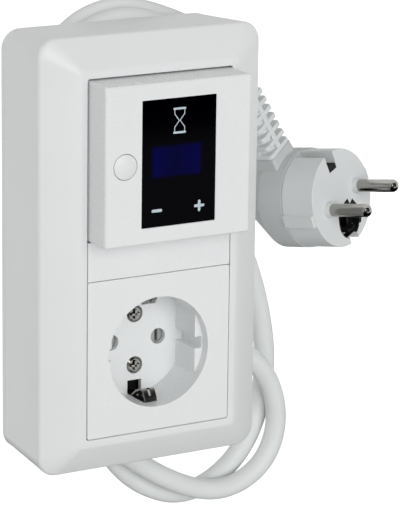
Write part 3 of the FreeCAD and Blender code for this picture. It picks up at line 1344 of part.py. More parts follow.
LEAD_ROUTE = [
    (16.0, 6.4, 16.5), (16.0, 6.4, -7.5), (28.0, 4.5, -29.5), (48.0, 4.2, -45.5), (70.0, 4.2, -61.5),
    (77.5, 4.2, -81.5), (72.0, 4.2, -100.5), (54.0, 4.2, -109.5), (33.0, 4.2, -103.5), (8.0, 4.2, -86.5),
    (-15.0, 4.2, -64.5), (-32.0, 4.2, -36.5), (-36.5, 4.2, 0.5), (-34.0, 4.2, 36.5), (-19.0, 4.2, 66.0),
    (7.0, 4.2, 78.5), (32.5, 4.2, 68.5), (44.5, 6.5, 45.5), (52.0, 10.8, 18.5), (60.0, 12.6, -6.0),
    (72.5, 12.6, -37.0), (77.0, 12.6, -69.5), (67.0, 12.6, -98.5), (43.0, 12.6, -112.5),
    (19.0, 12.6, -103.5),
    (2.0, 12.6, -81.5), (-8.0, 12.6, -52.5), (-15.0, 12.6, -18.5), (-24.0, 12.6, 13.5), (-29.0, 12.6, 44.5),
    (-12.0, 12.6, 71.5), (9.0, 12.6, 79.8), (31.0, 13.0, 73.5)]
LAST_RUN = 22.0


def tube_along(route, radius, name):
    """A round tube on straight runs joined by tangent arcs."""
    points = [Vector(*p) for p in route]
    runs = [(q - p).Length for p, q in zip(points, points[1:])]
    edges, here, bends = [], points[0], []
    for i in range(1, len(points) - 1):
        into = (points[i] - points[i - 1]).normalize()
        out = (points[i + 1] - points[i]).normalize()
        turn = into.getAngle(out)
        reach = 0.45 * min(runs[i - 1], runs[i])
        bend = reach / math.tan(turn / 2)
        start, end = points[i] - into * reach, points[i] + out * reach
        inwards = (out - into).normalize()
        middle = points[i] + inwards * (bend / math.cos(turn / 2) - bend)
        edges += [Part.LineSegment(here, start).toShape(), Part.Arc(start, middle, end).toShape()]
        here = end
        bends.append(bend)
    edges.append(Part.LineSegment(here, points[-1]).toShape())
    spine = Part.Wire(edges)
    heading = (points[1] - points[0]).normalize()
    profile = Part.Wire([Part.Circle(points[0], heading, radius).toShape()])
    item = doc.addObject("Part::Feature", name)
    item.Shape = spine.makePipeShell([profile], True, False)
    expected = math.pi * radius ** 2 * spine.Length
    print(f"{name}: length {spine.Length:.1f} mm, volume ratio {item.Shape.Volume / expected:.4f}")
    print("bend radii:", " ".join(f"{bend:.0f}" for bend in bends))
    print(f"least gap to itself: {gap_to_itself(spine, radius):.2f} mm")
    return item


def gap_to_itself(spine, radius):
    """The least clear distance between two stretches of a tube that aren't neighbours."""
    points = spine.discretize(Distance=1.5)
    apart = math.ceil(8 * radius / 1.5)
    return min((points[j] - points[i]).Length for i in range(len(points))
               for j in range(i + apart, len(points))) - 2 * radius


relief_exit = back_place.multVec(Vector(0, float(relief_end), -float(exit_depth)))
last_turn = relief_exit + back_turn.multVec(Vector(0, LAST_RUN, 0))
print("relief exit:", relief_exit, "last turn:", last_turn)
route = LEAD_ROUTE + [tuple(last_turn), tuple(relief_exit)]
subpart(tube_along(route, float(cord_radius), "mains_lead_tube"), "mains_lead")


# Check every object, then write one file for each sub-part

doc.recompute()
for item in doc.Objects:
    if "Invalid" in item.State or "Error" in item.State:
        raise RuntimeError(f"{item.Name} failed: {item.State}")
for item in SUBPARTS:
    if item.Shape.isNull() or not item.Shape.isValid():
        raise RuntimeError(f"{item.Label} has no valid shape")
os.makedirs("parts", exist_ok=True)
for item in SUBPARTS:
    item.Shape.exportStep(f"parts/{item.Label}.step")
    print(f"{item.Label}: {len(item.Shape.Solids)} solids, {item.Shape.Volume:.1f} mm3")
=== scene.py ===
"""Dresses the countdown timer socket: finishes, lead, plug, glossy panel and small parts.

Lengths are metres in the part's own frame: X to the right, Y to the rear, Z up, with
the origin at the centre of the rear face. Sizes of pieces are written in millimetres
and multiplied by MM.
"""

import json
import logging
import math
from dataclasses import dataclass
from enum import Enum
from typing import Sequence

import bmesh
import bpy
from mathutils import Matrix, Vector


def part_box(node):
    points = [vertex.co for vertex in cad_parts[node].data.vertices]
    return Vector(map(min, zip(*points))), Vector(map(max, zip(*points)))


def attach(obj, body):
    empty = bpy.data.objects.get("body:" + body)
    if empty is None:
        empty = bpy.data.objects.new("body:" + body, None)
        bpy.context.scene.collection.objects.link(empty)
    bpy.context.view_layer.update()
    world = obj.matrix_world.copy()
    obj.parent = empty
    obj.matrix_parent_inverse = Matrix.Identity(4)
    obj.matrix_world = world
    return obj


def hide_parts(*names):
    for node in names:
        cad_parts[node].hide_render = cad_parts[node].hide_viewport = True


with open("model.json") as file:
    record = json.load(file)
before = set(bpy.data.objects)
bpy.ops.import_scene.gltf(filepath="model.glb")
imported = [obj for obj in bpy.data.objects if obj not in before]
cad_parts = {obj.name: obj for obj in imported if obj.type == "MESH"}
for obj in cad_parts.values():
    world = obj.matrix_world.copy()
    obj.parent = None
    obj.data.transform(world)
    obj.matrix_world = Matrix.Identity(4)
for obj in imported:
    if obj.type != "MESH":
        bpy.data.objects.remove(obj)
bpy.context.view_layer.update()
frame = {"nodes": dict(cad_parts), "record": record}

LOG = logging.getLogger("timer_socket")
MM = 0.001
Colour = tuple[float, float, float, float]
Tree = bpy.types.NodeTree
Node = bpy.types.Node
Socket = bpy.types.NodeSocket
Piece = bpy.types.Object
Ring = Sequence[Vector]
Span = tuple[float, float]


def linear(code: str) -> Colour:
    """Turn an sRGB hex colour into linear light.

    Args:
        code: six hex digits after a hash sign.

    Returns:
        Red, green, blue and an alpha of one.
    """
    parts = [int(code[i:i + 2], 16) / 255 for i in (1, 3, 5)]
    return (*(p / 12.92 if p <= 0.04045 else ((p + 0.055) / 1.055) ** 2.4 for p in parts), 1.0)


def add_node(tree: Tree, kind: str, inputs: dict | None = None, **settings: object) -> Node:
    """Add one node with its settings, values and links.

    Args:
        tree: the shader or geometry tree.
        kind: the node's type name.
        inputs: socket name or number to a value or to another node's output.
        settings: the node's own attributes.

    Returns:
        The new node.
    """
    node = tree.nodes.new(kind)
    for key, value in settings.items():
        setattr(node, key, value)
    for socket, value in (inputs or {}).items():
        if isinstance(value, Socket):
            tree.links.new(value, node.inputs[socket])
        else:
            node.inputs[socket].default_value = value
    return node


# Finishes

# A wave texture's scale times the pitch of its bands
WAVE_SCALE = 0.314


@dataclass(frozen=True)
class Finish:
    """A surface finish: a base colour, a gloss and the fine detail that the eye sees."""

    name: str
    colour: str
    roughness: float

    def material(self) -> bpy.types.Material:
        """Build the material once.

        Returns:
            The material, which is the same one at every call.
        """
        found = bpy.data.materials.get(self.name)
        if found:
            return found
        made = bpy.data.materials.new(self.name)
        made.use_nodes = True
        tree = made.node_tree
        shader = next(n for n in tree.nodes if n.type == "BSDF_PRINCIPLED")
        shader.inputs["Base Color"].default_value = linear(self.colour)
        shader.inputs["Roughness"].default_value = self.roughness
        place = add_node(tree, "ShaderNodeTexCoord").outputs["Object"]
        self.detail(tree, shader, place)
        return made

    def detail(self, tree: Tree, shader: Node, place: Socket) -> None:
        """Add what sets this finish apart from a plain colour."""

    def lay(self, tree: Tree, shader: Node, tone: tuple[Socket, str] | None = None,
            gloss: tuple[Socket, float, float] | None = None,
            relief: tuple[Socket, float, float] | None = None) -> None:
        """Lay patterns on the shader.

        Args:
            tree: the material's node tree.
            shader: its surface shader.
            tone: a pattern between this finish's colour and a second one.
            gloss: a pattern between two roughnesses.
            relief: a pattern of heights, with its depth in millimetres and its strength.
        """
        if tone:
            mixed = add_node(tree, "ShaderNodeMix", {"Factor": tone[0], 6: linear(self.colour),
                                                     7: linear(tone[1])}, data_type="RGBA")
            tree.links.new(mixed.outputs[2], shader.inputs["Base Color"])
        if gloss:
            worn = add_node(tree, "ShaderNodeMapRange", {"Value": gloss[0], "To Min": gloss[1],
                                                         "To Max": gloss[2]})
            tree.links.new(worn.outputs["Result"], shader.inputs["Roughness"])
        if relief:
            bump = add_node(tree, "ShaderNodeBump", {"Height": relief[0], "Distance": relief[1] * MM,
                                                     "Strength": relief[2]})
            tree.links.new(bump.outputs["Normal"], shader.inputs["Normal"])


@dataclass(frozen=True)
class MouldedPlastic(Finish):
    """Injection-moulded thermoplastic: a fine spark-eroded grain and a faint drift in tone."""

    drift: str = "#DADCDC"
    drift_mm: float = 38.0
    grain_mm: float = 0.9
    grain_depth_mm: float = 0.006
    gloss_spread: Span = (-0.05, 0.06)
    ior: float = 1.5

    def detail(self, tree: Tree, shader: Node, place: Socket) -> None:
        """Grain in bump and roughness, and a slow drift between two near tones.

        Args:
            tree: the material's node tree.
            shader: its surface shader.
            place: the object coordinates.
        """
        shader.inputs["IOR"].default_value = self.ior
        cloud = add_node(tree, "ShaderNodeTexNoise", {"Vector": place, "Scale": 1 / (self.drift_mm * MM),
                                                      "Detail": 2.0}).outputs["Fac"]
        grain = add_node(tree, "ShaderNodeTexNoise", {"Vector": place, "Scale": 1 / (self.grain_mm * MM),
                                                      "Detail": 3.0, "Roughness": 0.6}).outputs["Fac"]
        low, high = (self.roughness + change for change in self.gloss_spread)
        self.lay(tree, shader, (cloud, self.drift), (grain, low, high), (grain, self.grain_depth_mm, 1.0))


@dataclass(frozen=True)
class PlatedMetal(Finish):
    """Plated or drawn metal: fine lines along one axis and a few duller patches."""

    line_mm: float = 0.25
    line_depth_mm: float = 0.002
    patch_mm: float = 3.0
    patch_gloss: Span = (0.7, 1.5)

    def detail(self, tree: Tree, shader: Node, place: Socket) -> None:
        """Metal with fine lines in its bump and patches in its gloss.

        Args:
            tree: the material's node tree.
            shader: its surface shader.
            place: the object coordinates.
        """
        shader.inputs["Metallic"].default_value = 1.0
        lines, patches = (add_node(tree, "ShaderNodeTexNoise", {"Vector": place, "Scale": 1 / (size * MM),
                                                                "Detail": detail}).outputs["Fac"]
                          for size, detail in ((self.line_mm, 2.0), (self.patch_mm, 3.0)))
        low, high = (self.roughness * share for share in self.patch_gloss)
        self.lay(tree, shader, gloss=(patches, low, high), relief=(lines, self.line_depth_mm, 1.0))


@dataclass(frozen=True)
class BandedFinish(Finish):
    """Glass-fibre board or wound wire: regular bands at the pitch of the weave or the wire."""

    second: str = "#0E3A1C"
    pitch_mm: float = 0.6
    unevenness: float = 0.4
    thread_rise: float = 0.6
    thread_mm: float = 0.02
    metallic: float = 0.0
    direction: str = "X"

    def detail(self, tree: Tree, shader: Node, place: Socket) -> None:
        """Two tones in bands, with the bump that the threads give.

        Args:
            tree: the material's node tree.
            shader: its surface shader.
            place: the object coordinates.
        """
        shader.inputs["Metallic"].default_value = self.metallic
        bands = add_node(tree, "ShaderNodeTexWave",
                         {"Vector": place, "Scale": WAVE_SCALE / (self.pitch_mm * MM),
                          "Distortion": self.unevenness}, bands_direction=self.direction).outputs["Fac"]
        self.lay(tree, shader, (bands, self.second), relief=(bands, self.thread_mm, self.thread_rise))


@dataclass(frozen=True)
class PrintedInk(Finish):
    """Screen-printed ink: opaque and slightly uneven, because the mesh leaves thinner spots."""

    thin: str = "#BDCFD6"
    spot_mm: float = 0.5

    def detail(self, tree: Tree, shader: Node, place: Socket) -> None:
        """Thinner spots in the ink's tone, at a coarse screen's pitch."""
        spots = add_node(tree, "ShaderNodeTexNoise", {"Vector": place, "Scale": 1 / (self.spot_mm * MM),
                                                      "Detail": 1.0}).outputs["Fac"]
        self.lay(tree, shader, (spots, self.thin))


@dataclass(frozen=True)
class DisplayPanel(Finish):
    """Polished black acrylic whose back print leaves a window for a dim blue display."""

    glow: str = "#000036"
    centre: Span = (-0.0010, 0.0361)
    half: Span = (0.00935, 0.00525)
    blur_mm: float = 0.9
    end_glow: Span = (0.7, 1.3)
    ior: float = 1.12

    def detail(self, tree: Tree, shader: Node, place: Socket) -> None:
        """A soft-edged rectangle of display blue behind the black.

        Args:
            tree: the material's node tree.
            shader: its surface shader.
            place: the object coordinates.
        """
        # An anti-reflection coating keeps the white surroundings out of the black
        shader.inputs["IOR"].default_value = self.ior
        axes = add_node(tree, "ShaderNodeSeparateXYZ", {"Vector": place})
        masks, reaches = [], []
        for axis, middle, half in zip(("X", "Z"), self.centre, self.half):
            offset = add_node(tree, "ShaderNodeMath", {0: axes.outputs[axis], 1: middle}, operation="SUBTRACT")
            reach = add_node(tree, "ShaderNodeMath", {0: offset.outputs[0]}, operation="ABSOLUTE")
            reaches.append(reach.outputs[0])
            masks.append(add_node(tree, "ShaderNodeMapRange",
                                  {"Value": reach.outputs[0], "From Min": half - self.blur_mm * MM,
                                   "From Max": half + self.blur_mm * MM, "To Min": 1.0, "To Max": 0.0},
                                  interpolation_type="SMOOTHSTEP").outputs["Result"])
        window = add_node(tree, "ShaderNodeMath", {0: masks[0], 1: masks[1]}, operation="MULTIPLY")
        # The backlight enters from both ends, so the middle of the display is the darkest
        low, high = self.end_glow
        level = add_node(tree, "ShaderNodeMapRange", {"Value": reaches[0], "From Max": self.half[0],
                                                      "To Min": low, "To Max": high})
        lit = add_node(tree, "ShaderNodeMath", {0: window.outputs[0], 1: level.outputs["Result"]},
                       operation="MULTIPLY")
        shader.inputs["Emission Color"].default_value = linear(self.glow)
        tree.links.new(lit.outputs[0], shader.inputs["Emission Strength"])


class Finishes(Enum):
    """The finishes of this part, by the material slot of the record."""

    # Housings of this kind are ABS from a polished tool, so white, satin and almost grainless
    housing_plastic = MouldedPlastic("white_abs_moulded", "#ECEEEE", 0.36, drift="#E8EAEA")
    # Inserts are thermoplastic with a little more gloss than the housing round them
    insert_plastic = MouldedPlastic("white_polycarbonate_moulded", "#EEF0F0", 0.28, drift="#EBEDED",
                                    grain_mm=0.7, grain_depth_mm=0.003)
    # The panel is cast acrylic printed black behind: the eye sees one deep, mirror-smooth black
    display_panel = DisplayPanel("black_acrylic_panel", "#000003", 0.06)
    # A PVC sheath is extruded, so it is smooth round its turns and slightly waxy
    lead_pvc = MouldedPlastic("white_pvc_sheath_extruded", "#E9ECEB", 0.42, drift="#E3E6E5", grain_mm=1.4,
                              grain_depth_mm=0.010)
    # The plug is soft PVC moulded on to the lead, so duller than the housing
    plug_pvc = MouldedPlastic("white_pvc_plug_moulded", "#E4E7E7", 0.46, drift="#DEE1E1", grain_mm=0.8,
                              grain_depth_mm=0.010)
    # Zinc on steel is a cool grey, with lines from the sheet's rolling and dull patches
    plated_steel = PlatedMetal("zinc_plated_steel", "#B9BAB8", 0.34)
    # Nickel on drawn brass is bright and a little warm, and mirrors the room
    nickel_plated = PlatedMetal("nickel_plated_brass_drawn", "#A9A8A3", 0.17, line_mm=0.3)
    # Stamped brass is yellow and satin
    contact_brass = PlatedMetal("brass_stamped", "#C9A75A", 0.3)
    # Glass-fibre board shows its weave through a green lacquer, drawn coarser so that it shows
    circuit_board = BandedFinish("glass_fibre_board_green", "#1C5A33", 0.4, second="#17492A")
    # Filled black thermoplastic is matt and hardly mirrors anything
    dark_moulding = MouldedPlastic("black_thermoplastic_moulded", "#08090A", 0.62, drift="#0B0C0D", ior=1.4)
    # Grey relay and terminal mouldings are matt, with an even tone
    grey_moulding = MouldedPlastic("grey_thermoplastic_moulded", "#A9ABAB", 0.5, drift="#A2A4A4")
    # Enamelled wire is glossy and coppery, in bands at the pitch of its turns
    coil_copper = BandedFinish("enamelled_copper_wire_wound", "#B4552E", 0.3, second="#7E3318", pitch_mm=0.25,
                               metallic=1.0, direction="Y")
    # Dipped epoxy is a deep, soft-edged blue
    capacitor_blue = MouldedPlastic("blue_epoxy_dipped", "#2A4A86", 0.35, drift="#254178")


# The plug's back is the plug's PVC drawn matt and a little greyer; the grey is painted shade, where the
# housing keeps the light off the back
SHADED_GRIP_PVC = MouldedPlastic("white_pvc_grip_painted_shade", "#CDD0D0", 0.55, drift="#C8CBCB", grain_depth_mm=0.012)
# Ink through a screen is opaque, off-white and matt
SCREEN_INK = PrintedInk("white_screen_ink", "#C6D6DC", 0.5)


# Mesh helpers

def circle(radius: float, count: int = 40) -> list[Span]:
    """Points of a circle in turn."""
    return [(radius * math.cos(2 * math.pi * i / count), radius * math.sin(2 * math.pi * i / count))
            for i in range(count)]


def join_rings(shape: bmesh.types.BMesh, rings: Sequence[Ring], closed: bool = True) -> None:
    """Add rings of equal count to a mesh and join each to the next.

    Args:
        shape: the mesh.
        rings: rings of points in order.
        closed: whether the first and last rings get a cap; else they are joined to each other.
    """
    rows = [[shape.verts.new(point) for point in ring] for ring in rings]
    count = len(rows[0])
    pairs = list(zip(rows, rows[1:])) + ([] if closed else [(rows[-1], rows[0])])
    for low, high in pairs:
        for i in range(count):
            shape.faces.new((low[i], low[(i + 1) % count], high[(i + 1) % count], high[i]))
    if closed:
        shape.faces.new(rows[0][::-1])
        shape.faces.new(rows[-1])


def finished(name: str, shape: bmesh.types.BMesh) -> Piece:
    """Turn a mesh in the making into an object with outward normals and smooth faces.

    Args:
        name: the new object's name.
        shape: the mesh, which is freed.

    Returns:
        The object, linked to the scene.
    """
    bmesh.ops.recalc_face_normals(shape, faces=shape.faces)
    mesh = bpy.data.meshes.new(name)
    shape.to_mesh(mesh)
    shape.free()
    mesh.shade_smooth()
    return linked(name, mesh)


def linked(name: str, data: bpy.types.ID | None) -> Piece:
    """Make an object and link it to the scene.

    Args:
        name: its name.
        data: its mesh, curve, lamp or camera.

    Returns:
        The object.
    """
    made = bpy.data.objects.new(name, data)
    bpy.context.scene.collection.objects.link(made)
    return made


def soften(piece: Piece, width_mm: float, segments: int = 3, angle: float = 35.0) -> Piece:
    """Round the sharp edges of a piece for good.

    Args:
        piece: the object.
        width_mm: how far each edge is set back.
        segments: faces across each rounded edge.
        angle: edges sharper than this many degrees are rounded.

    Returns:
        The same object.
    """
    bevel = piece.modifiers.new("edge", "BEVEL")
    bevel.width = width_mm * MM
    bevel.segments = segments
    bevel.limit_method = "ANGLE"
    bevel.angle_limit = math.radians(angle)
    return settle(piece)


def settle(piece: Piece) -> Piece:
    """Turn an object and its modifiers into a plain mesh.

    Args:
        piece: the object.

    Returns:
        The same object, without modifiers.
    """
    graph = bpy.context.evaluated_depsgraph_get()
    mesh = bpy.data.meshes.new_from_object(piece.evaluated_get(graph))
    piece.modifiers.clear()
    piece.data = mesh
    return piece


def crisp(piece: Piece, angle: float = 32.0) -> Piece:
    """Shade a piece smooth, but keep its sharp edges sharp and its flat faces flat.

    Args:
        piece: the object.
        angle: edges sharper than this many degrees stay sharp.

    Returns:
        The same object.
    """
    piece.data.shade_smooth()
    piece.data.set_sharp_from_angle(angle=math.radians(angle))
    even = piece.modifiers.new("even", "WEIGHTED_NORMAL")
    even.keep_sharp = True
    even.weight = 80
    return settle(piece)


def dress(piece: Piece, slot: Finishes, body: str = "housing", *stands_for: str,
          finish: Finish | None = None) -> Piece:
    """Give a piece its finish, its slot, the body it rides on and the nodes it replaces.

    Args:
        piece: the object.
        slot: the finish, named as the record's slot.
        body: the CAD body that carries it.
        stands_for: CAD nodes that it takes the place of.
        finish: a finish of its own, where it differs from the slot's.

    Returns:
        The same object.
    """
    piece.data.materials.clear()
    piece.data.materials.append((finish or slot.value).material())
    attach(piece, body)
    if stands_for:
        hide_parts(*stands_for)
    LOG.info("%s: %s on %s", piece.name, slot.name, body)
    return piece


# The lead

@dataclass
class Lead:
    """The free lead: out of the bend guard, two loose loops behind the housing, and up to the plug."""

    radius: float = 3.9 * MM
    length: float = 0.937
    route: tuple[tuple[float, float, float], ...] = (
        (0.0160, 0.0064, 0.0165), (0.0160, 0.0064, -0.0075), (0.0280, 0.0045, -0.0295),
        (0.0480, 0.0042, -0.0455), (0.0700, 0.0042, -0.0615), (0.0775, 0.0042, -0.0815),
        (0.0720, 0.0042, -0.1005), (0.0540, 0.0042, -0.1095), (0.0330, 0.0042, -0.1035),
        (0.0080, 0.0042, -0.0865), (-0.0150, 0.0042, -0.0645), (-0.0320, 0.0042, -0.0365),
        (-0.0365, 0.0042, 0.0005), (-0.0340, 0.0042, 0.0365), (-0.0190, 0.0042, 0.0660),
        (0.0070, 0.0042, 0.0785), (0.0325, 0.0042, 0.0685), (0.0445, 0.0065, 0.0455),
        (0.0520, 0.0108, 0.0185), (0.0600, 0.0126, -0.0060), (0.0725, 0.0126, -0.0370),
        (0.0770, 0.0126, -0.0695), (0.0670, 0.0126, -0.0985), (0.0430, 0.0126, -0.1125),
        (0.0190, 0.0126, -0.1035), (0.0020, 0.0126, -0.0815), (-0.0080, 0.0126, -0.0525),
        (-0.0150, 0.0126, -0.0185), (-0.0240, 0.0126, 0.0135), (-0.0290, 0.0126, 0.0445),
        (-0.0120, 0.0126, 0.0715), (0.0090, 0.0126, 0.0798), (0.0310, 0.0130, 0.0735),
        (0.0483, 0.0060, 0.0642), (0.0589, 0.0070, 0.0449))

    def build(self, with_pieces: Sequence[Piece]) -> Piece:
        """Lay the lead along its route.

        Args:
            with_pieces: the plug's pieces, which hang on the lead; not used.

        Returns:
            The lead's curve.
        """
        line = bpy.data.curves.new("lead", "CURVE")
        line.dimensions = "3D"
        spline = line.splines.new("NURBS")
        spline.points.add(len(self.route) - 1)
        for point, place in zip(spline.points, self.route):
            point.co = (*place, 1.0)
        spline.order_u = 3
        spline.use_endpoint_u = True
        spline.resolution_u = 10
        line.bevel_depth = self.radius
        line.bevel_resolution = 7
        line.use_fill_caps = True
        lead = linked("lead", line)
        dress(lead, Finishes.lead_pvc, "housing", "mains_lead")
        return lead


# Pieces that keep their CAD shape, with the soft edges that a mould leaves

def copy_of(node: str, name: str) -> Piece:
    """Copy a CAD node into a merged mesh whose flat faces are whole.

    Args:
        node: the CAD node's name.
        name: the new object's name.

    Returns:
        The new object, with the faces turned as they were.
    """
    shape = bmesh.new()
    shape.from_mesh(frame["nodes"][node].data)
    bmesh.ops.remove_doubles(shape, verts=shape.verts, dist=0.001 * MM)
    bmesh.ops.dissolve_limit(shape, angle_limit=math.radians(0.4), verts=shape.verts, edges=shape.edges)
    mesh = bpy.data.meshes.new(name)
    shape.to_mesh(mesh)
    shape.free()
    return linked(name, mesh)


@dataclass(frozen=True)
class Moulding:
    """One moulded or stamped piece that keeps its CAD shape and gets soft edges."""

    node: str
    name: str
    slot: Finishes
    edge_mm: float
    body: str = "housing"
    finish: Finish | None = None

    def build(self) -> Piece:
        """Copy the node, round its edges and dress it."""
        piece = crisp(soften(copy_of(self.node, self.name), self.edge_mm, segments=2), 30.0)
        return dress(piece, self.slot, self.body, self.node, finish=self.finish)


# What repeats, by Geometry Nodes

class RepeatTree:
    """A geometry tree that sets one shape on many points and gives it a finish."""

    def __init__(self, name: str, sizes: dict[str, str]) -> None:
        """Start the tree and keep the identifiers of its inputs.

        Args:
            name: the tree's name.
            sizes: the names of its inputs, with their socket types.
        """
        self.tree = bpy.data.node_groups.new(name, "GeometryNodeTree")
        sockets = self.tree.interface
        sockets.new_socket("base", in_out="INPUT", socket_type="NodeSocketGeometry")
        self.inputs = {key: sockets.new_socket(key, in_out="INPUT", socket_type=f"NodeSocket{kind}").identifier
                       for key, kind in {**sizes, "finish": "Material"}.items()}
        sockets.new_socket("result", in_out="OUTPUT", socket_type="NodeSocketGeometry")
        self.given = add_node(self.tree, "NodeGroupInput").outputs

    def close(self, instances: Socket) -> None:
        """Make the instances real, give them their finish and end the tree.

        Args:
            instances: what the tree has set on its points.
        """
        real = add_node(self.tree, "GeometryNodeRealizeInstances", {"Geometry": instances})
        done = add_node(self.tree, "GeometryNodeSetMaterial",
                        {"Geometry": real.outputs[0], "Material": self.given["finish"]})
        add_node(self.tree, "NodeGroupOutput", {"result": done.outputs[0]})

    def grow(self, name: str, points: Sequence[Sequence[float]], values: dict[str, object]) -> Piece:
        """Run the tree on points and keep the plain mesh that it gives.

        Args:
            name: the new object's name.
            points: where the shapes stand, for a tree that asks for places.
            values: the names of inputs with their values.

        Returns:
            The new object, with no modifier left on it.
        """
        mesh = bpy.data.meshes.new(name)
        mesh.from_pydata(list(points), [], [])
        base = linked(name, mesh)
        modifier = base.modifiers.new("grow", "NODES")
        modifier.node_group = self.tree
        for key, value in values.items():
            modifier[self.inputs[key]] = value
        return settle(base)


class ScrewTree(RepeatTree):
    """Pan-head screws with a cross recess, one on each point."""

    # Sizes that follow the screw's own: a name, what it follows, and its share of that
    SHARES = (("skirt height", "head height", 0.6), ("skirt drop", "head height", -0.7),
              ("dome height", "head height", 0.4), ("dome drop", "head height", -0.4),
              ("dome top", "head radius", 0.74), ("shank drop", "whole length", -0.5),
              ("arm length", "head radius", 1.15), ("arm width", "head radius", 0.28),
              ("arm depth", "head height", 1.3))

    def __init__(self) -> None:
        """Build the tree."""
        super().__init__("cross_recess_screw", {"head radius": "Float", "head height": "Float",
                                                "whole length": "Float", "shank radius": "Float",
                                                "turn": "Vector"})
        tree, given = self.tree, self.given
        size = {name: add_node(tree, "ShaderNodeMath", {0: given[source], 1: share},
                               operation="MULTIPLY").outputs[0] for name, source, share in self.SHARES}
        shapes = (("GeometryNodeMeshCylinder", "skirt drop",
                   {"Vertices": 40, "Radius": given["head radius"], "Depth": size["skirt height"]}),
                  ("GeometryNodeMeshCone", "dome drop",
                   {"Vertices": 40, "Radius Top": size["dome top"], "Radius Bottom": given["head radius"],
                    "Depth": size["dome height"]}),
                  ("GeometryNodeMeshCylinder", "shank drop",
                   {"Vertices": 24, "Radius": given["shank radius"], "Depth": given["whole length"]}))
        solid = add_node(tree, "GeometryNodeMeshBoolean", operation="UNION")
        for kind, drop, sizes in shapes:
            shape = add_node(tree, kind, sizes)
            down = add_node(tree, "ShaderNodeCombineXYZ", {"Z": size[drop]})
            moved = add_node(tree, "GeometryNodeTransform",
                             {"Geometry": shape.outputs["Mesh"], "Translation": down.outputs[0]})
            tree.links.new(moved.outputs[0], solid.inputs["Mesh 2"])
        recess = add_node(tree, "GeometryNodeJoinGeometry")
        for wide, deep in (("arm length", "arm width"), ("arm width", "arm length")):
            box = add_node(tree, "ShaderNodeCombineXYZ",
                           {"X": size[wide], "Y": size[deep], "Z": size["arm depth"]})
            arm = add_node(tree, "GeometryNodeMeshCube", {"Size": box.outputs[0]})
            tree.links.new(arm.outputs["Mesh"], recess.inputs["Geometry"])
        cross = add_node(tree, "GeometryNodeMeshBoolean", operation="DIFFERENCE")
        tree.links.new(solid.outputs["Mesh"], cross.inputs["Mesh 1"])
        tree.links.new(recess.outputs["Geometry"], cross.inputs["Mesh 2"])
        turn = add_node(tree, "FunctionNodeEulerToRotation", {0: given["turn"]})
        placed = add_node(tree, "GeometryNodeInstanceOnPoints",
                          {"Points": given["base"], "Instance": cross.outputs["Mesh"],
                           "Rotation": turn.outputs[0]})
        self.close(placed.outputs["Instances"])


@dataclass(frozen=True)
class ScrewSet:
    """Equal screws that stand in one plane; their heads face the front or the wall."""

    node: str
    places_mm: tuple[Span, ...]
    head_mm: float
    to_wall: bool = False
    slot: Finishes = Finishes.plated_steel
    rise_mm: float = 1.4
    shank_mm: float = 1.42

    def build(self, recipe: ScrewTree) -> Piece:
        """Set the screws where the CAD node stands.

        Args:
            recipe: the screws' geometry tree.

        Returns:
            One object with all the screws.
        """
        low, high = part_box(self.node)
        plane, quarter = (high[1], -math.pi / 2) if self.to_wall else (low[1], math.pi / 2)
        screws = recipe.grow(f"{self.node}_recessed", [(x * MM, plane, z * MM) for x, z in self.places_mm],
                             {"head radius": self.head_mm * MM, "head height": self.rise_mm * MM,
                              "whole length": high[1] - low[1], "shank radius": self.shank_mm * MM,
                              "turn": (quarter, 0.0, 0.0), "finish": self.slot.value.material()})
        return dress(crisp(screws, 25.0), self.slot, "housing", self.node)


# The timer's print and display

@dataclass(frozen=True)
class TouchPrint:
    """White ink on the panel: an hourglass, a minus and a plus, as thin raised strokes.

    Sizes are millimetres from the timer's middle. Each sign's place is the middle of the sign.
    """

    centre_z: float = 35.5
    front: float = 51.2
    sink: float = 0.02
    lift: float = 0.03
    step: float = 0.002
    glass: Span = (0.0, 14.3)
    glass_half: Span = (1.95, 2.15)
    glass_reach: float = 4.15
    glass_waist: float = 2.3
    glass_neck: float = 0.16
    glass_line: float = 0.30
    cap_line: float = 0.72
    minus: Span = (-8.6, -16.4)
    plus: Span = (8.1, -16.3)
    sign_half: float = 1.55
    minus_line: float = 1.05
    plus_line: float = 1.0
    arc_steps: int = 8

    def strokes(self) -> list[tuple[Span, Span, float]]:
        """Lay out the three signs.

        Returns:
            Each stroke's two ends and its width.
        """
        x, z = self.glass
        wide, cap = self.glass_half
        lines = [((x - cap, z + reach), (x + cap, z + reach), self.cap_line)
                 for reach in (-self.glass_reach, self.glass_reach)]
        for across in (-1, 1):
            for up in (-1, 1):
                knee = (x + across * wide, z + up * self.glass_waist)
                lines.append(((x + across * wide, z + up * self.glass_reach), knee, self.glass_line))
                lines.append((knee, (x + across * self.glass_neck, z), self.glass_line))
        half = self.sign_half
        for (x, z), line, (dx, dz) in ((self.minus, self.minus_line, (half, 0)),
                                       (self.plus, self.plus_line, (half, 0)),
                                       (self.plus, self.plus_line, (0, half))):
            lines.append(((x - dx, z - dz), (x + dx, z + dz), line))
        return lines

    def build(self) -> Piece:
        """Raise every stroke a hair's breadth from the panel, each to its own height.

        Returns:
            The ink as one object.
        """
        shape = bmesh.new()
        for number, (start, end, width) in enumerate(self.strokes()):
            along = Vector((end[0] - start[0], end[1] - start[1]))
            heading = math.atan2(along.y, along.x)
            outline = []
            for centre, turn in ((end, -math.pi / 2), (start, math.pi / 2)):
                for step in range(self.arc_steps + 1):
                    angle = heading + turn + math.pi * step / self.arc_steps
                    outline.append((centre[0] + width / 2 * math.cos(angle),
                                    centre[1] + width / 2 * math.sin(angle)))
            join_rings(shape, [[Vector((px, -(self.front + level), self.centre_z + pz)) * MM
                                for px, pz in outline]
                               for level in (-self.sink, self.lift + self.step * number)])
        return dress(crisp(finished("touch_symbols", shape)), Finishes.insert_plastic, finish=SCREEN_INK)


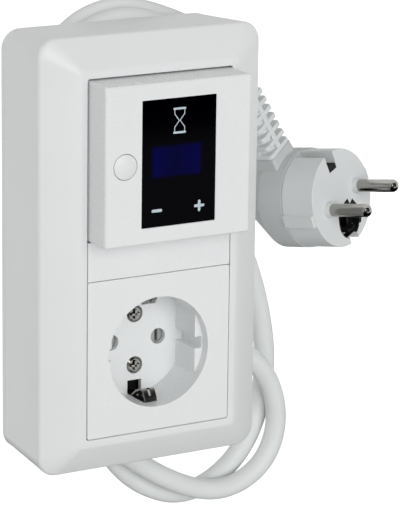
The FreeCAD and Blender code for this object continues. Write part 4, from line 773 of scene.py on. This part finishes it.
@dataclass(frozen=True)
class EarthSprings:
    """The bent earth strip: a forked crest on each side of the dish and a strap behind its base.

    The corners of half the strip are its distance from the dish's middle and its place forward.
    """

    width: float = 4.8
    thick: float = 0.6
    slit: float = 1.0
    slit_reach: Span = (24.0, 31.9)
    lower: float = -35.5
    bend: float = 0.3
    corners: tuple[Span, ...] = ((19.7, 33.0), (18.4, 32.7), (15.5, 31.0), (16.9, 27.0), (20.8, 22.0),
                                 (20.8, 12.0), (20.8, 4.4))

    def profile(self) -> list[Span]:
        """Round the corners of half the strip.

        Returns:
            Its points, from the front end to the strap.
        """
        points = [self.corners[0]]
        for before, corner, after in zip(self.corners, self.corners[1:], self.corners[2:]):
            start = [c + (b - c) * self.bend for b, c in zip(before, corner)]
            end = [c + (a - c) * self.bend for a, c in zip(after, corner)]
            for share in (0.25, 0.5, 0.75):
                points.append(tuple((1 - share) ** 2 * s + 2 * share * (1 - share) * c + share ** 2 * e
                                    for s, c, e in zip(start, corner, end)))
        points.append(self.corners[-1])
        return points

    def build(self) -> Piece:
        """Bend the strip, slit its crests and give it its thickness.

        Returns:
            The strip as one object.
        """
        half = self.profile()
        line = [(-a, b) for a, b in half] + [(a, b) for a, b in half[::-1]]
        across = [-self.width / 2, -self.slit / 2, self.slit / 2, self.width / 2]
        shape = bmesh.new()
        rows = [[shape.verts.new((x * MM, -b * MM, (self.lower + a) * MM)) for x in across] for a, b in line]
        low_end, high_end = self.slit_reach
        for (low, high), (start, end) in zip(zip(rows, rows[1:]), zip(line, line[1:])):
            for i in range(3):
                forked = i == 1 and low_end < (start[1] + end[1]) / 2 < high_end
                if not forked:
                    shape.faces.new((low[i], low[i + 1], high[i + 1], high[i]))
        strip = finished("earth_springs", shape)
        sheet = strip.modifiers.new("thickness", "SOLIDIFY")
        sheet.thickness = self.thick * MM
        sheet.offset = 0.0
        return dress(crisp(settle(strip), 40.0), Finishes.nickel_plated, "housing", "earth_bracket")


# The plug

class RibTree(RepeatTree):
    """The strain relief's ribs: rounded plates in a row that shrink in size."""

    def __init__(self) -> None:
        """Build the tree."""
        super().__init__("strain_relief_ribs", {"count": "Int", "pitch": "Float", "side": "Float",
                                                "last side over first": "Float", "corner radius": "Float",
                                                "thickness": "Float"})
        tree, given = self.tree, self.given
        square = add_node(tree, "GeometryNodeCurvePrimitiveQuadrilateral",
                          {"Width": given["side"], "Height": given["side"]})
        rounded = add_node(tree, "GeometryNodeFilletCurve",
                           {"Curve": square.outputs[0], "Radius": given["corner radius"], "Count": 5},
                           mode="POLY")
        plate = add_node(tree, "GeometryNodeFillCurve", {"Curve": rounded.outputs[0]}, mode="NGONS")
        solid = add_node(tree, "GeometryNodeExtrudeMesh",
                         {"Mesh": plate.outputs[0], "Offset Scale": given["thickness"], "Individual": False})
        back = add_node(tree, "GeometryNodeFlipFaces", {"Mesh": plate.outputs[0]})
        whole = add_node(tree, "GeometryNodeJoinGeometry")
        for half in (solid.outputs["Mesh"], back.outputs[0]):
            tree.links.new(half, whole.inputs[0])
        merged = add_node(tree, "GeometryNodeMergeByDistance",
                          {"Geometry": whole.outputs[0], "Distance": 0.01 * MM})
        step = add_node(tree, "ShaderNodeCombineXYZ", {"Z": given["pitch"]})
        row = add_node(tree, "GeometryNodeMeshLine", {"Count": given["count"], "Offset": step.outputs[0]})
        index = add_node(tree, "GeometryNodeInputIndex")
        last = add_node(tree, "ShaderNodeMath", {0: given["count"], 1: 1.0}, operation="SUBTRACT")
        size = add_node(tree, "ShaderNodeMapRange",
                        {"Value": index.outputs[0], "From Min": 0.0, "From Max": last.outputs[0],
                         "To Min": 1.0, "To Max": given["last side over first"]})
        scale = add_node(tree, "ShaderNodeCombineXYZ", {"X": size.outputs[0], "Y": size.outputs[0], "Z": 1.0})
        placed = add_node(tree, "GeometryNodeInstanceOnPoints",
                          {"Points": row.outputs[0], "Instance": merged.outputs[0], "Scale": scale.outputs[0]})
        self.close(placed.outputs["Instances"])


@dataclass(frozen=True)
class Plug:
    """The moulded plug: face and back, the back greyer as painted shade, dark core, two pins, earth clips and
    the ribbed relief.

    Sizes are millimetres. The collar is a thin black ring of painted shade on the face; its outline is degrees
    and distance from the earth opening's middle, and its two long points are the peaks above the opening.
    """

    face: tuple[float, float, float] = (91.7, -13.4, 4.8)
    pins: tuple[float, float, float] = (0.3569, -0.9222, 0.1482)
    notches: tuple[float, float, float] = (-0.3476, 0.0110, 0.9351)
    lean: float = 9.0
    exit_depth: float = 24.6
    relief: Span = (22.0, 50.0)
    rib_half: Span = (6.6, 5.8)
    rib_corner: float = 1.7
    rib_edge: float = 0.42
    rib_thick: float = 1.9
    rib_pitch: float = 3.85
    rib_count: int = 7
    cable: float = 3.95
    sleeve: tuple[float, float, float] = (5.1, 4.7, 4.4)
    sleeve_tip: float = 0.3
    spine_half: float = 1.1
    spine_inset: float = 0.3
    spine_ends: Span = (0.2, 2.4)
    mouth_radius: float = 6.38
    mouth_place: float = -10.0
    mouth_depth: float = 2.95
    mouth_set_back: float = 0.12
    mouth_steps: int = 48
    lining: float = 0.35
    notch_half: float = 2.5
    shelf: float = -14.6
    shelf_size: Span = (10.4, 0.3)
    shelf_inset: float = 0.1
    collar_sink: float = 0.5
    collar_lift: float = 0.03
    collar_lap: float = 0.3
    collar: tuple[Span, ...] = (
        (-33.1, 7.3), (-18.7, 7.7), (0.0, 7.5), (28.4, 7.9), (50.6, 8.6), (60.5, 6.6), (71.0, 8.6),
        (90.3, 7.6), (119.0, 7.1), (139.0, 7.0), (165.0, 6.4))

    def axes(self) -> tuple[Vector, Vector, Vector]:
        """Work out the plug's own directions.

        Returns:
            Along the row of pins, along the notches, and the way the pins point.
        """
        forward = Vector(self.pins).normalized()
        up = Vector(self.notches)
        up = (up - forward * up.dot(forward)).normalized()
        return up.cross(forward), up, forward

    def face_frame(self) -> Matrix:
        """The place of the plug's face: the pins run along Z and the notches lie along Y."""
        return Matrix.Translation(Vector(self.face) * MM) @ Matrix(self.axes()).transposed().to_4x4()

    def exit_frame(self) -> Matrix:
        """The place of the lead's way out of the plug.

        Returns:
            A frame at the plug's middle, with the way out along Z.
        """
        side, up, forward = self.axes()
        turn = math.radians(self.lean)
        across = side * math.cos(turn) + up * math.sin(turn)
        along = up * math.cos(turn) - side * math.sin(turn)
        turned = Matrix((across, along.cross(across), along)).transposed()
        middle = Vector(self.face) * MM - forward * self.exit_depth * MM
        return Matrix.Translation(middle) @ turned.to_4x4()

    def build_relief(self, recipe: RibTree) -> Piece:
        """Ribs on a round core, with a narrow spine on two sides.

        Args:
            recipe: the ribs' geometry tree.

        Returns:
            The strain relief as one object.
        """
        start, end = (v * MM for v in self.relief)
        length = end - start
        first, last = self.rib_half
        ribs = recipe.grow("strain_relief_ribbed", [], {
            "count": self.rib_count, "pitch": self.rib_pitch * MM, "side": 2 * first * MM,
            "last side over first": last / first, "corner radius": self.rib_corner * MM,
            "thickness": self.rib_thick * MM, "finish": Finishes.plug_pvc.value.material()})
        soften(ribs, self.rib_edge, segments=3, angle=50.0)
        foot, shoulder, tip = self.sleeve
        near_tip = length - self.sleeve_tip * MM
        core = bmesh.new()
        join_rings(core, [[Vector((x, y, z)) for x, y in circle(radius * MM)]
                          for radius, z in ((self.cable, 0.0), (foot, 0.0), (shoulder, near_tip),
                                            (tip, length), (self.cable, length))], closed=False)
        parts = [ribs, finished("relief_core", core)]
        reach, narrow = ((half - self.spine_inset) * MM for half in (first, last))
        low_end, high_end = self.spine_ends
        half = self.spine_half * MM
        outline = [(-reach, half), (-reach, -half), (reach, -half), (reach, half)]
        for turn in (0.0, math.pi / 2):
            spine = bmesh.new()
            join_rings(spine, [[Matrix.Rotation(turn, 3, "Z") @ Vector((x * factor, y, z)) for x, y in outline]
                               for z, factor in ((low_end * MM, 1.0),
                                                 (length - high_end * MM, narrow / reach))])
            parts.append(finished("relief_spine", spine))
        merge = bmesh.new()
        for part in parts:
            merge.from_mesh(part.data)
        for part in parts[1:]:
            bpy.data.objects.remove(part)
        merge.transform(self.exit_frame() @ Matrix.Translation((0.0, 0.0, start)))
        merge.to_mesh(ribs.data)
        merge.free()
        return dress(crisp(ribs, 35.0), Finishes.plug_pvc, "housing", "plug_strain_relief")

    def build_earth_mouth(self) -> Piece:
        """The dark mouth of the earth opening, in black as painted shade for the opening's shaded inside.

        Returns:
            One object: the lining, the collar with its two peaks, and the shelf across the notch.
        """
        shape = bmesh.new()
        radius = self.mouth_radius
        notch = math.degrees(math.asin(self.notch_half / radius))
        step = (360.0 - 2 * notch) / self.mouth_steps
        round_lining = [(-90.0 + notch + step * i, radius) for i in range(self.mouth_steps + 1)]
        for outline, inner, rear, front in (
                (round_lining, radius - self.lining, -self.mouth_depth, -self.mouth_set_back),
                (self.collar, radius - self.collar_lap, -self.collar_sink, self.collar_lift)):
            join_rings(shape, [[Vector((r * math.cos(math.radians(degrees)),
                                        self.mouth_place + r * math.sin(math.radians(degrees)), z)) * MM
                                for r, z in ((outer, rear), (outer, front), (inner, front), (inner, rear))]
                               for degrees, outer in outline])
        wide, thick = self.shelf_size
        size = Matrix.Diagonal((wide * MM, thick * MM, (self.mouth_depth - self.shelf_inset) * MM, 1.0))
        middle = Matrix.Translation((0.0, self.shelf * MM, -self.mouth_depth / 2 * MM))
        bmesh.ops.create_cube(shape, size=1.0, matrix=middle @ size)
        mouth = finished("plug_earth_mouth", shape)
        mouth.data.transform(self.face_frame())
        # Black here is painted shade: it stands for the shade inside the earth opening
        return dress(crisp(mouth), Finishes.dark_moulding)

    def build(self, recipe: RibTree) -> list[Piece]:
        """Build every piece of the plug.

        Args:
            recipe: the ribs' geometry tree.

        Returns:
            All the pieces and CAD nodes that the lead carries.
        """
        mouldings = (Moulding("plug_front", "plug_face", Finishes.plug_pvc, 0.3),
                     # The back takes the greyer copy of the plug PVC, which is painted shade
                     Moulding("plug_back", "plug_grip", Finishes.plug_pvc, 0.5, finish=SHADED_GRIP_PVC),
                     Moulding("plug_core", "plug_insert", Finishes.dark_moulding, 0.12),
                     Moulding("plug_earth_clips", "plug_clip_strips", Finishes.nickel_plated, 0.1))
        pieces = [moulding.build() for moulding in mouldings]
        pieces += [self.build_relief(recipe), self.build_earth_mouth()]
        return pieces + [frame["nodes"][node] for node in ("plug_pins", "plug_earth_sleeve")]


# The studio

def stage_plane(name: str, corners: Sequence[tuple[float, float, float]], colour: str,
                roughness: float) -> tuple[Piece, Node]:
    """One flat face of the studio, marked as stage.

    Args:
        name: its name.
        corners: its corners in turn.
        colour: its sRGB colour.
        roughness: its roughness.

    Returns:
        The object and its shader, whose glow is white.
    """
    shape = bmesh.new()
    shape.faces.new([shape.verts.new(corner) for corner in corners])
    plane = finished(name, shape)
    paper = bpy.data.materials.new(name)
    paper.use_nodes = True
    shader = next(n for n in paper.node_tree.nodes if n.type == "BSDF_PRINCIPLED")
    shader.inputs["Base Color"].default_value = linear(colour)
    shader.inputs["Roughness"].default_value = roughness
    shader.inputs["Emission Color"].default_value = linear("#FFFFFF")
    plane.data.materials.append(paper)
    return plane, shader


def seen_or_mirrored(tree: Tree) -> Socket:
    """Tell the rays that show the studio from those that light the part.

    Args:
        tree: a material's or the world's node tree.

    Returns:
        One for rays from the camera, off a polished face or through glass, else nothing.
    """
    rays = add_node(tree, "ShaderNodeLightPath").outputs
    seen = add_node(tree, "ShaderNodeMath", {0: rays["Is Camera Ray"], 1: rays["Is Glossy Ray"]},
                    operation="MAXIMUM")
    return add_node(tree, "ShaderNodeMath", {0: seen.outputs[0], 1: rays["Is Transmission Ray"]},
                    operation="MAXIMUM").outputs[0]


@dataclass(frozen=True)
class Card:
    """A card that only polished faces mirror: upright where its Y ends are equal, else level."""

    name: str
    x: Span
    y: Span
    z: Span
    colour: str
    glow: float

    def build(self) -> None:
        """Make the card and hide it from all but mirrored rays."""
        (x0, x1), (y0, y1), (z0, z1) = self.x, self.y, self.z
        card, shader = stage_plane(self.name, ((x0, y0, z0), (x1, y0, z0), (x1, y1, z1), (x0, y1, z1)),
                                   self.colour, 1.0)
        shader.inputs["Specular IOR Level"].default_value = 0.0
        shader.inputs["Emission Strength"].default_value = self.glow
        card.visible_camera = card.visible_diffuse = card.visible_shadow = card.visible_transmission = False


@dataclass(frozen=True)
class SoftSun:
    """A broad, soft lamp: its brightness, the way its light goes and how far it spreads."""

    name: str
    strength: float
    heading: tuple[float, float, float]
    spread: float

    def build(self) -> None:
        """Make the lamp and turn it."""
        data = bpy.data.lights.new(self.name, "SUN")
        data.energy = self.strength
        data.angle = math.radians(self.spread)
        lamp = linked(self.name, data)
        lamp.rotation_mode = "QUATERNION"
        lamp.rotation_quaternion = Vector(self.heading).to_track_quat("-Z", "Y")


@dataclass(frozen=True)
class Studio:
    """Floor, surroundings, lamps and the camera at the photo's angle.

    The surroundings light the part a little more from the upper left front, as the photo's
    tent does, and polished faces mirror a dark room in front with one bright window in it.
    """

    aim: tuple[float, float, float] = (0.0, -0.0185, 0.0)
    distance: float = 1.00134
    azimuth: float = -29.12
    elevation: float = 14.26
    roll: float = 0.45
    focal_pixels: float = 2829.46
    centre_pixels: Span = (-68.06, -11.25)
    picture: tuple[int, int] = (400, 505)
    sensor_mm: float = 36.0
    floor_height: float = -0.35
    floor_half: float = 4.0
    floor_glow: float = 0.75
    ambient: float = 0.31
    ambient_least: float = 0.05
    lean: tuple[float, float, float] = (-0.16, -0.10, 0.10)
    # The fill comes from behind on the left, where the housing shades the plug from it
    lamps: tuple[SoftSun, ...] = (SoftSun("key", 1.80, (0.12, 0.98, -0.14), 50.0),
                                  SoftSun("fill", 0.30, (0.75, -0.60, -0.35), 40.0))
    cards: tuple[Card, ...] = (
        Card("dark_room", (-3.0, 3.0), (-1.6, -1.6), (-2.0, 2.4), "#050506", 0.0),
        Card("dark_bench", (-1.6, 1.6), (-1.6, 0.5), (-0.34, -0.34), "#08080A", 0.0),
        Card("grey_bench", (0.2, 1.3), (-1.58, -0.7), (-0.33, -0.33), "#FFFFFF", 0.38),
        Card("window_card", (-0.95, -0.55), (-1.5, -1.5), (0.45, 0.85), "#FFFFFF", 5.0))

    def build(self) -> None:
        """Make the whole studio."""
        self.make_camera()
        self.make_surroundings()
        self.make_floor()
        for item in self.lamps + self.cards:
            item.build()

    def make_camera(self) -> None:
        """Place the camera by its fitted angles, focal length and picture centre."""
        azimuth, elevation = math.radians(self.azimuth), math.radians(self.elevation)
        back = Vector((math.sin(azimuth) * math.cos(elevation), -math.cos(azimuth) * math.cos(elevation),
                       math.sin(elevation)))
        data = bpy.data.cameras.new("camera")
        camera = linked("camera", data)
        long_side = max(self.picture)
        data.sensor_width = self.sensor_mm
        data.lens = self.focal_pixels / long_side * self.sensor_mm
        data.shift_x = -self.centre_pixels[0] / long_side
        data.shift_y = self.centre_pixels[1] / long_side
        data.clip_start, data.clip_end = 0.01, 20.0
        camera.rotation_mode = "QUATERNION"
        camera.location = Vector(self.aim) + back * self.distance
        turn = (-back).to_track_quat("-Z", "Y")
        camera.rotation_quaternion = turn @ Matrix.Rotation(math.radians(self.roll), 3, "Z").to_quaternion()
        bpy.context.scene.camera = camera

    def make_surroundings(self) -> None:
        """A plain world: white where it is seen or mirrored, softer where it lights."""
        world = bpy.data.worlds.new("studio")
        bpy.context.scene.world = world
        world.use_nodes = True
        tree = world.node_tree
        tree.nodes.clear()
        shown = seen_or_mirrored(tree)
        sky = add_node(tree, "ShaderNodeTexCoord").outputs["Generated"]
        tilt = add_node(tree, "ShaderNodeVectorMath", {0: sky, 1: self.lean}, operation="DOT_PRODUCT")
        soft = add_node(tree, "ShaderNodeMath", {0: tilt.outputs["Value"], 1: self.ambient}, operation="ADD")
        least = add_node(tree, "ShaderNodeMath", {0: soft.outputs[0], 1: self.ambient_least},
                         operation="MAXIMUM")
        strength = add_node(tree, "ShaderNodeMix", {0: shown, 2: least.outputs[0], 3: 1.0}, data_type="FLOAT")
        light = add_node(tree, "ShaderNodeBackground", {"Color": linear("#FFFFFF"),
                                                        "Strength": strength.outputs[0]})
        add_node(tree, "ShaderNodeOutputWorld", {"Surface": light.outputs[0]})

    def make_floor(self) -> None:
        """A pale floor well below the part, which hangs from its wall screws."""
        half, height = self.floor_half, self.floor_height
        corners = [(x * half, y * half, height) for x, y in ((-1, -1), (1, -1), (1, 1), (-1, 1))]
        floor, shader = stage_plane("floor", corners, "#F4F5F5", 0.8)
        tree = floor.data.materials[0].node_tree
        glow = add_node(tree, "ShaderNodeMath", {0: seen_or_mirrored(tree), 1: self.floor_glow},
                        operation="MULTIPLY")
        tree.links.new(glow.outputs[0], shader.inputs["Emission Strength"])


# The pieces of this part

MOULDINGS = (
    Moulding("housing_hood", "cover_frame", Finishes.housing_plastic, 0.35),
    Moulding("base_plate", "wall_plate", Finishes.housing_plastic, 0.25),
    Moulding("spacer_bar", "blank_bar", Finishes.insert_plastic, 0.2),
    Moulding("timer_block", "timer_body", Finishes.insert_plastic, 0.3),
    Moulding("timer_front_plate", "timer_face", Finishes.insert_plastic, 0.2),
    Moulding("display_window", "touch_panel", Finishes.display_panel, 0.12),
    Moulding("push_button", "button_cap", Finishes.insert_plastic, 0.2, "push_button"),
    Moulding("socket_cover", "socket_dish", Finishes.insert_plastic, 0.25),
    Moulding("bend_guard", "lead_guard", Finishes.plug_pvc, 0.3),
)

SCREWS = (
    ScrewSet("cover_screws", ((0.0, -45.0), (0.0, -26.0)), 3.0, slot=Finishes.nickel_plated),
    ScrewSet("hood_screws", tuple((34.6 * x, 69.0 * z) for x in (-1, 1) for z in (-1, 1)), 2.8, to_wall=True),
    ScrewSet("ring_screws", tuple((31.2 * x, 35.5 * z) for x in (-1, 1) for z in (-1, 1)), 2.8),
    ScrewSet("board_screws", tuple((24.0 * x, 35.5 + 24.0 * z) for x in (-1, 1) for z in (-1, 1)), 2.5),
    ScrewSet("clamp_screws", tuple((16.0 + 6.1 * x, 56.5) for x in (-1, 1)), 2.8),
)


def dress_cad_nodes() -> None:
    """Give every CAD node the finish of its slot in the record."""
    for row in frame["record"]["subparts"]:
        node = frame["nodes"][row["node"]]
        node.data.materials.clear()
        node.data.materials.append(Finishes[row["material_slot"]].value.material())


def main() -> None:
    """Build the studio and the lead with its plug first, then every other piece."""
    logging.basicConfig(level=logging.INFO, format="%(name)s: %(message)s")
    bpy.context.scene.view_settings.view_transform = "Standard"
    Studio().build()
    dress_cad_nodes()
    Lead().build(Plug().build(RibTree()))
    for moulding in MOULDINGS:
        moulding.build()
    screws = ScrewTree()
    for screw_set in SCREWS:
        screw_set.build(screws)
    for assembly in (EarthSprings(), TouchPrint()):
        assembly.build()


if __name__ == "__main__":
    main()
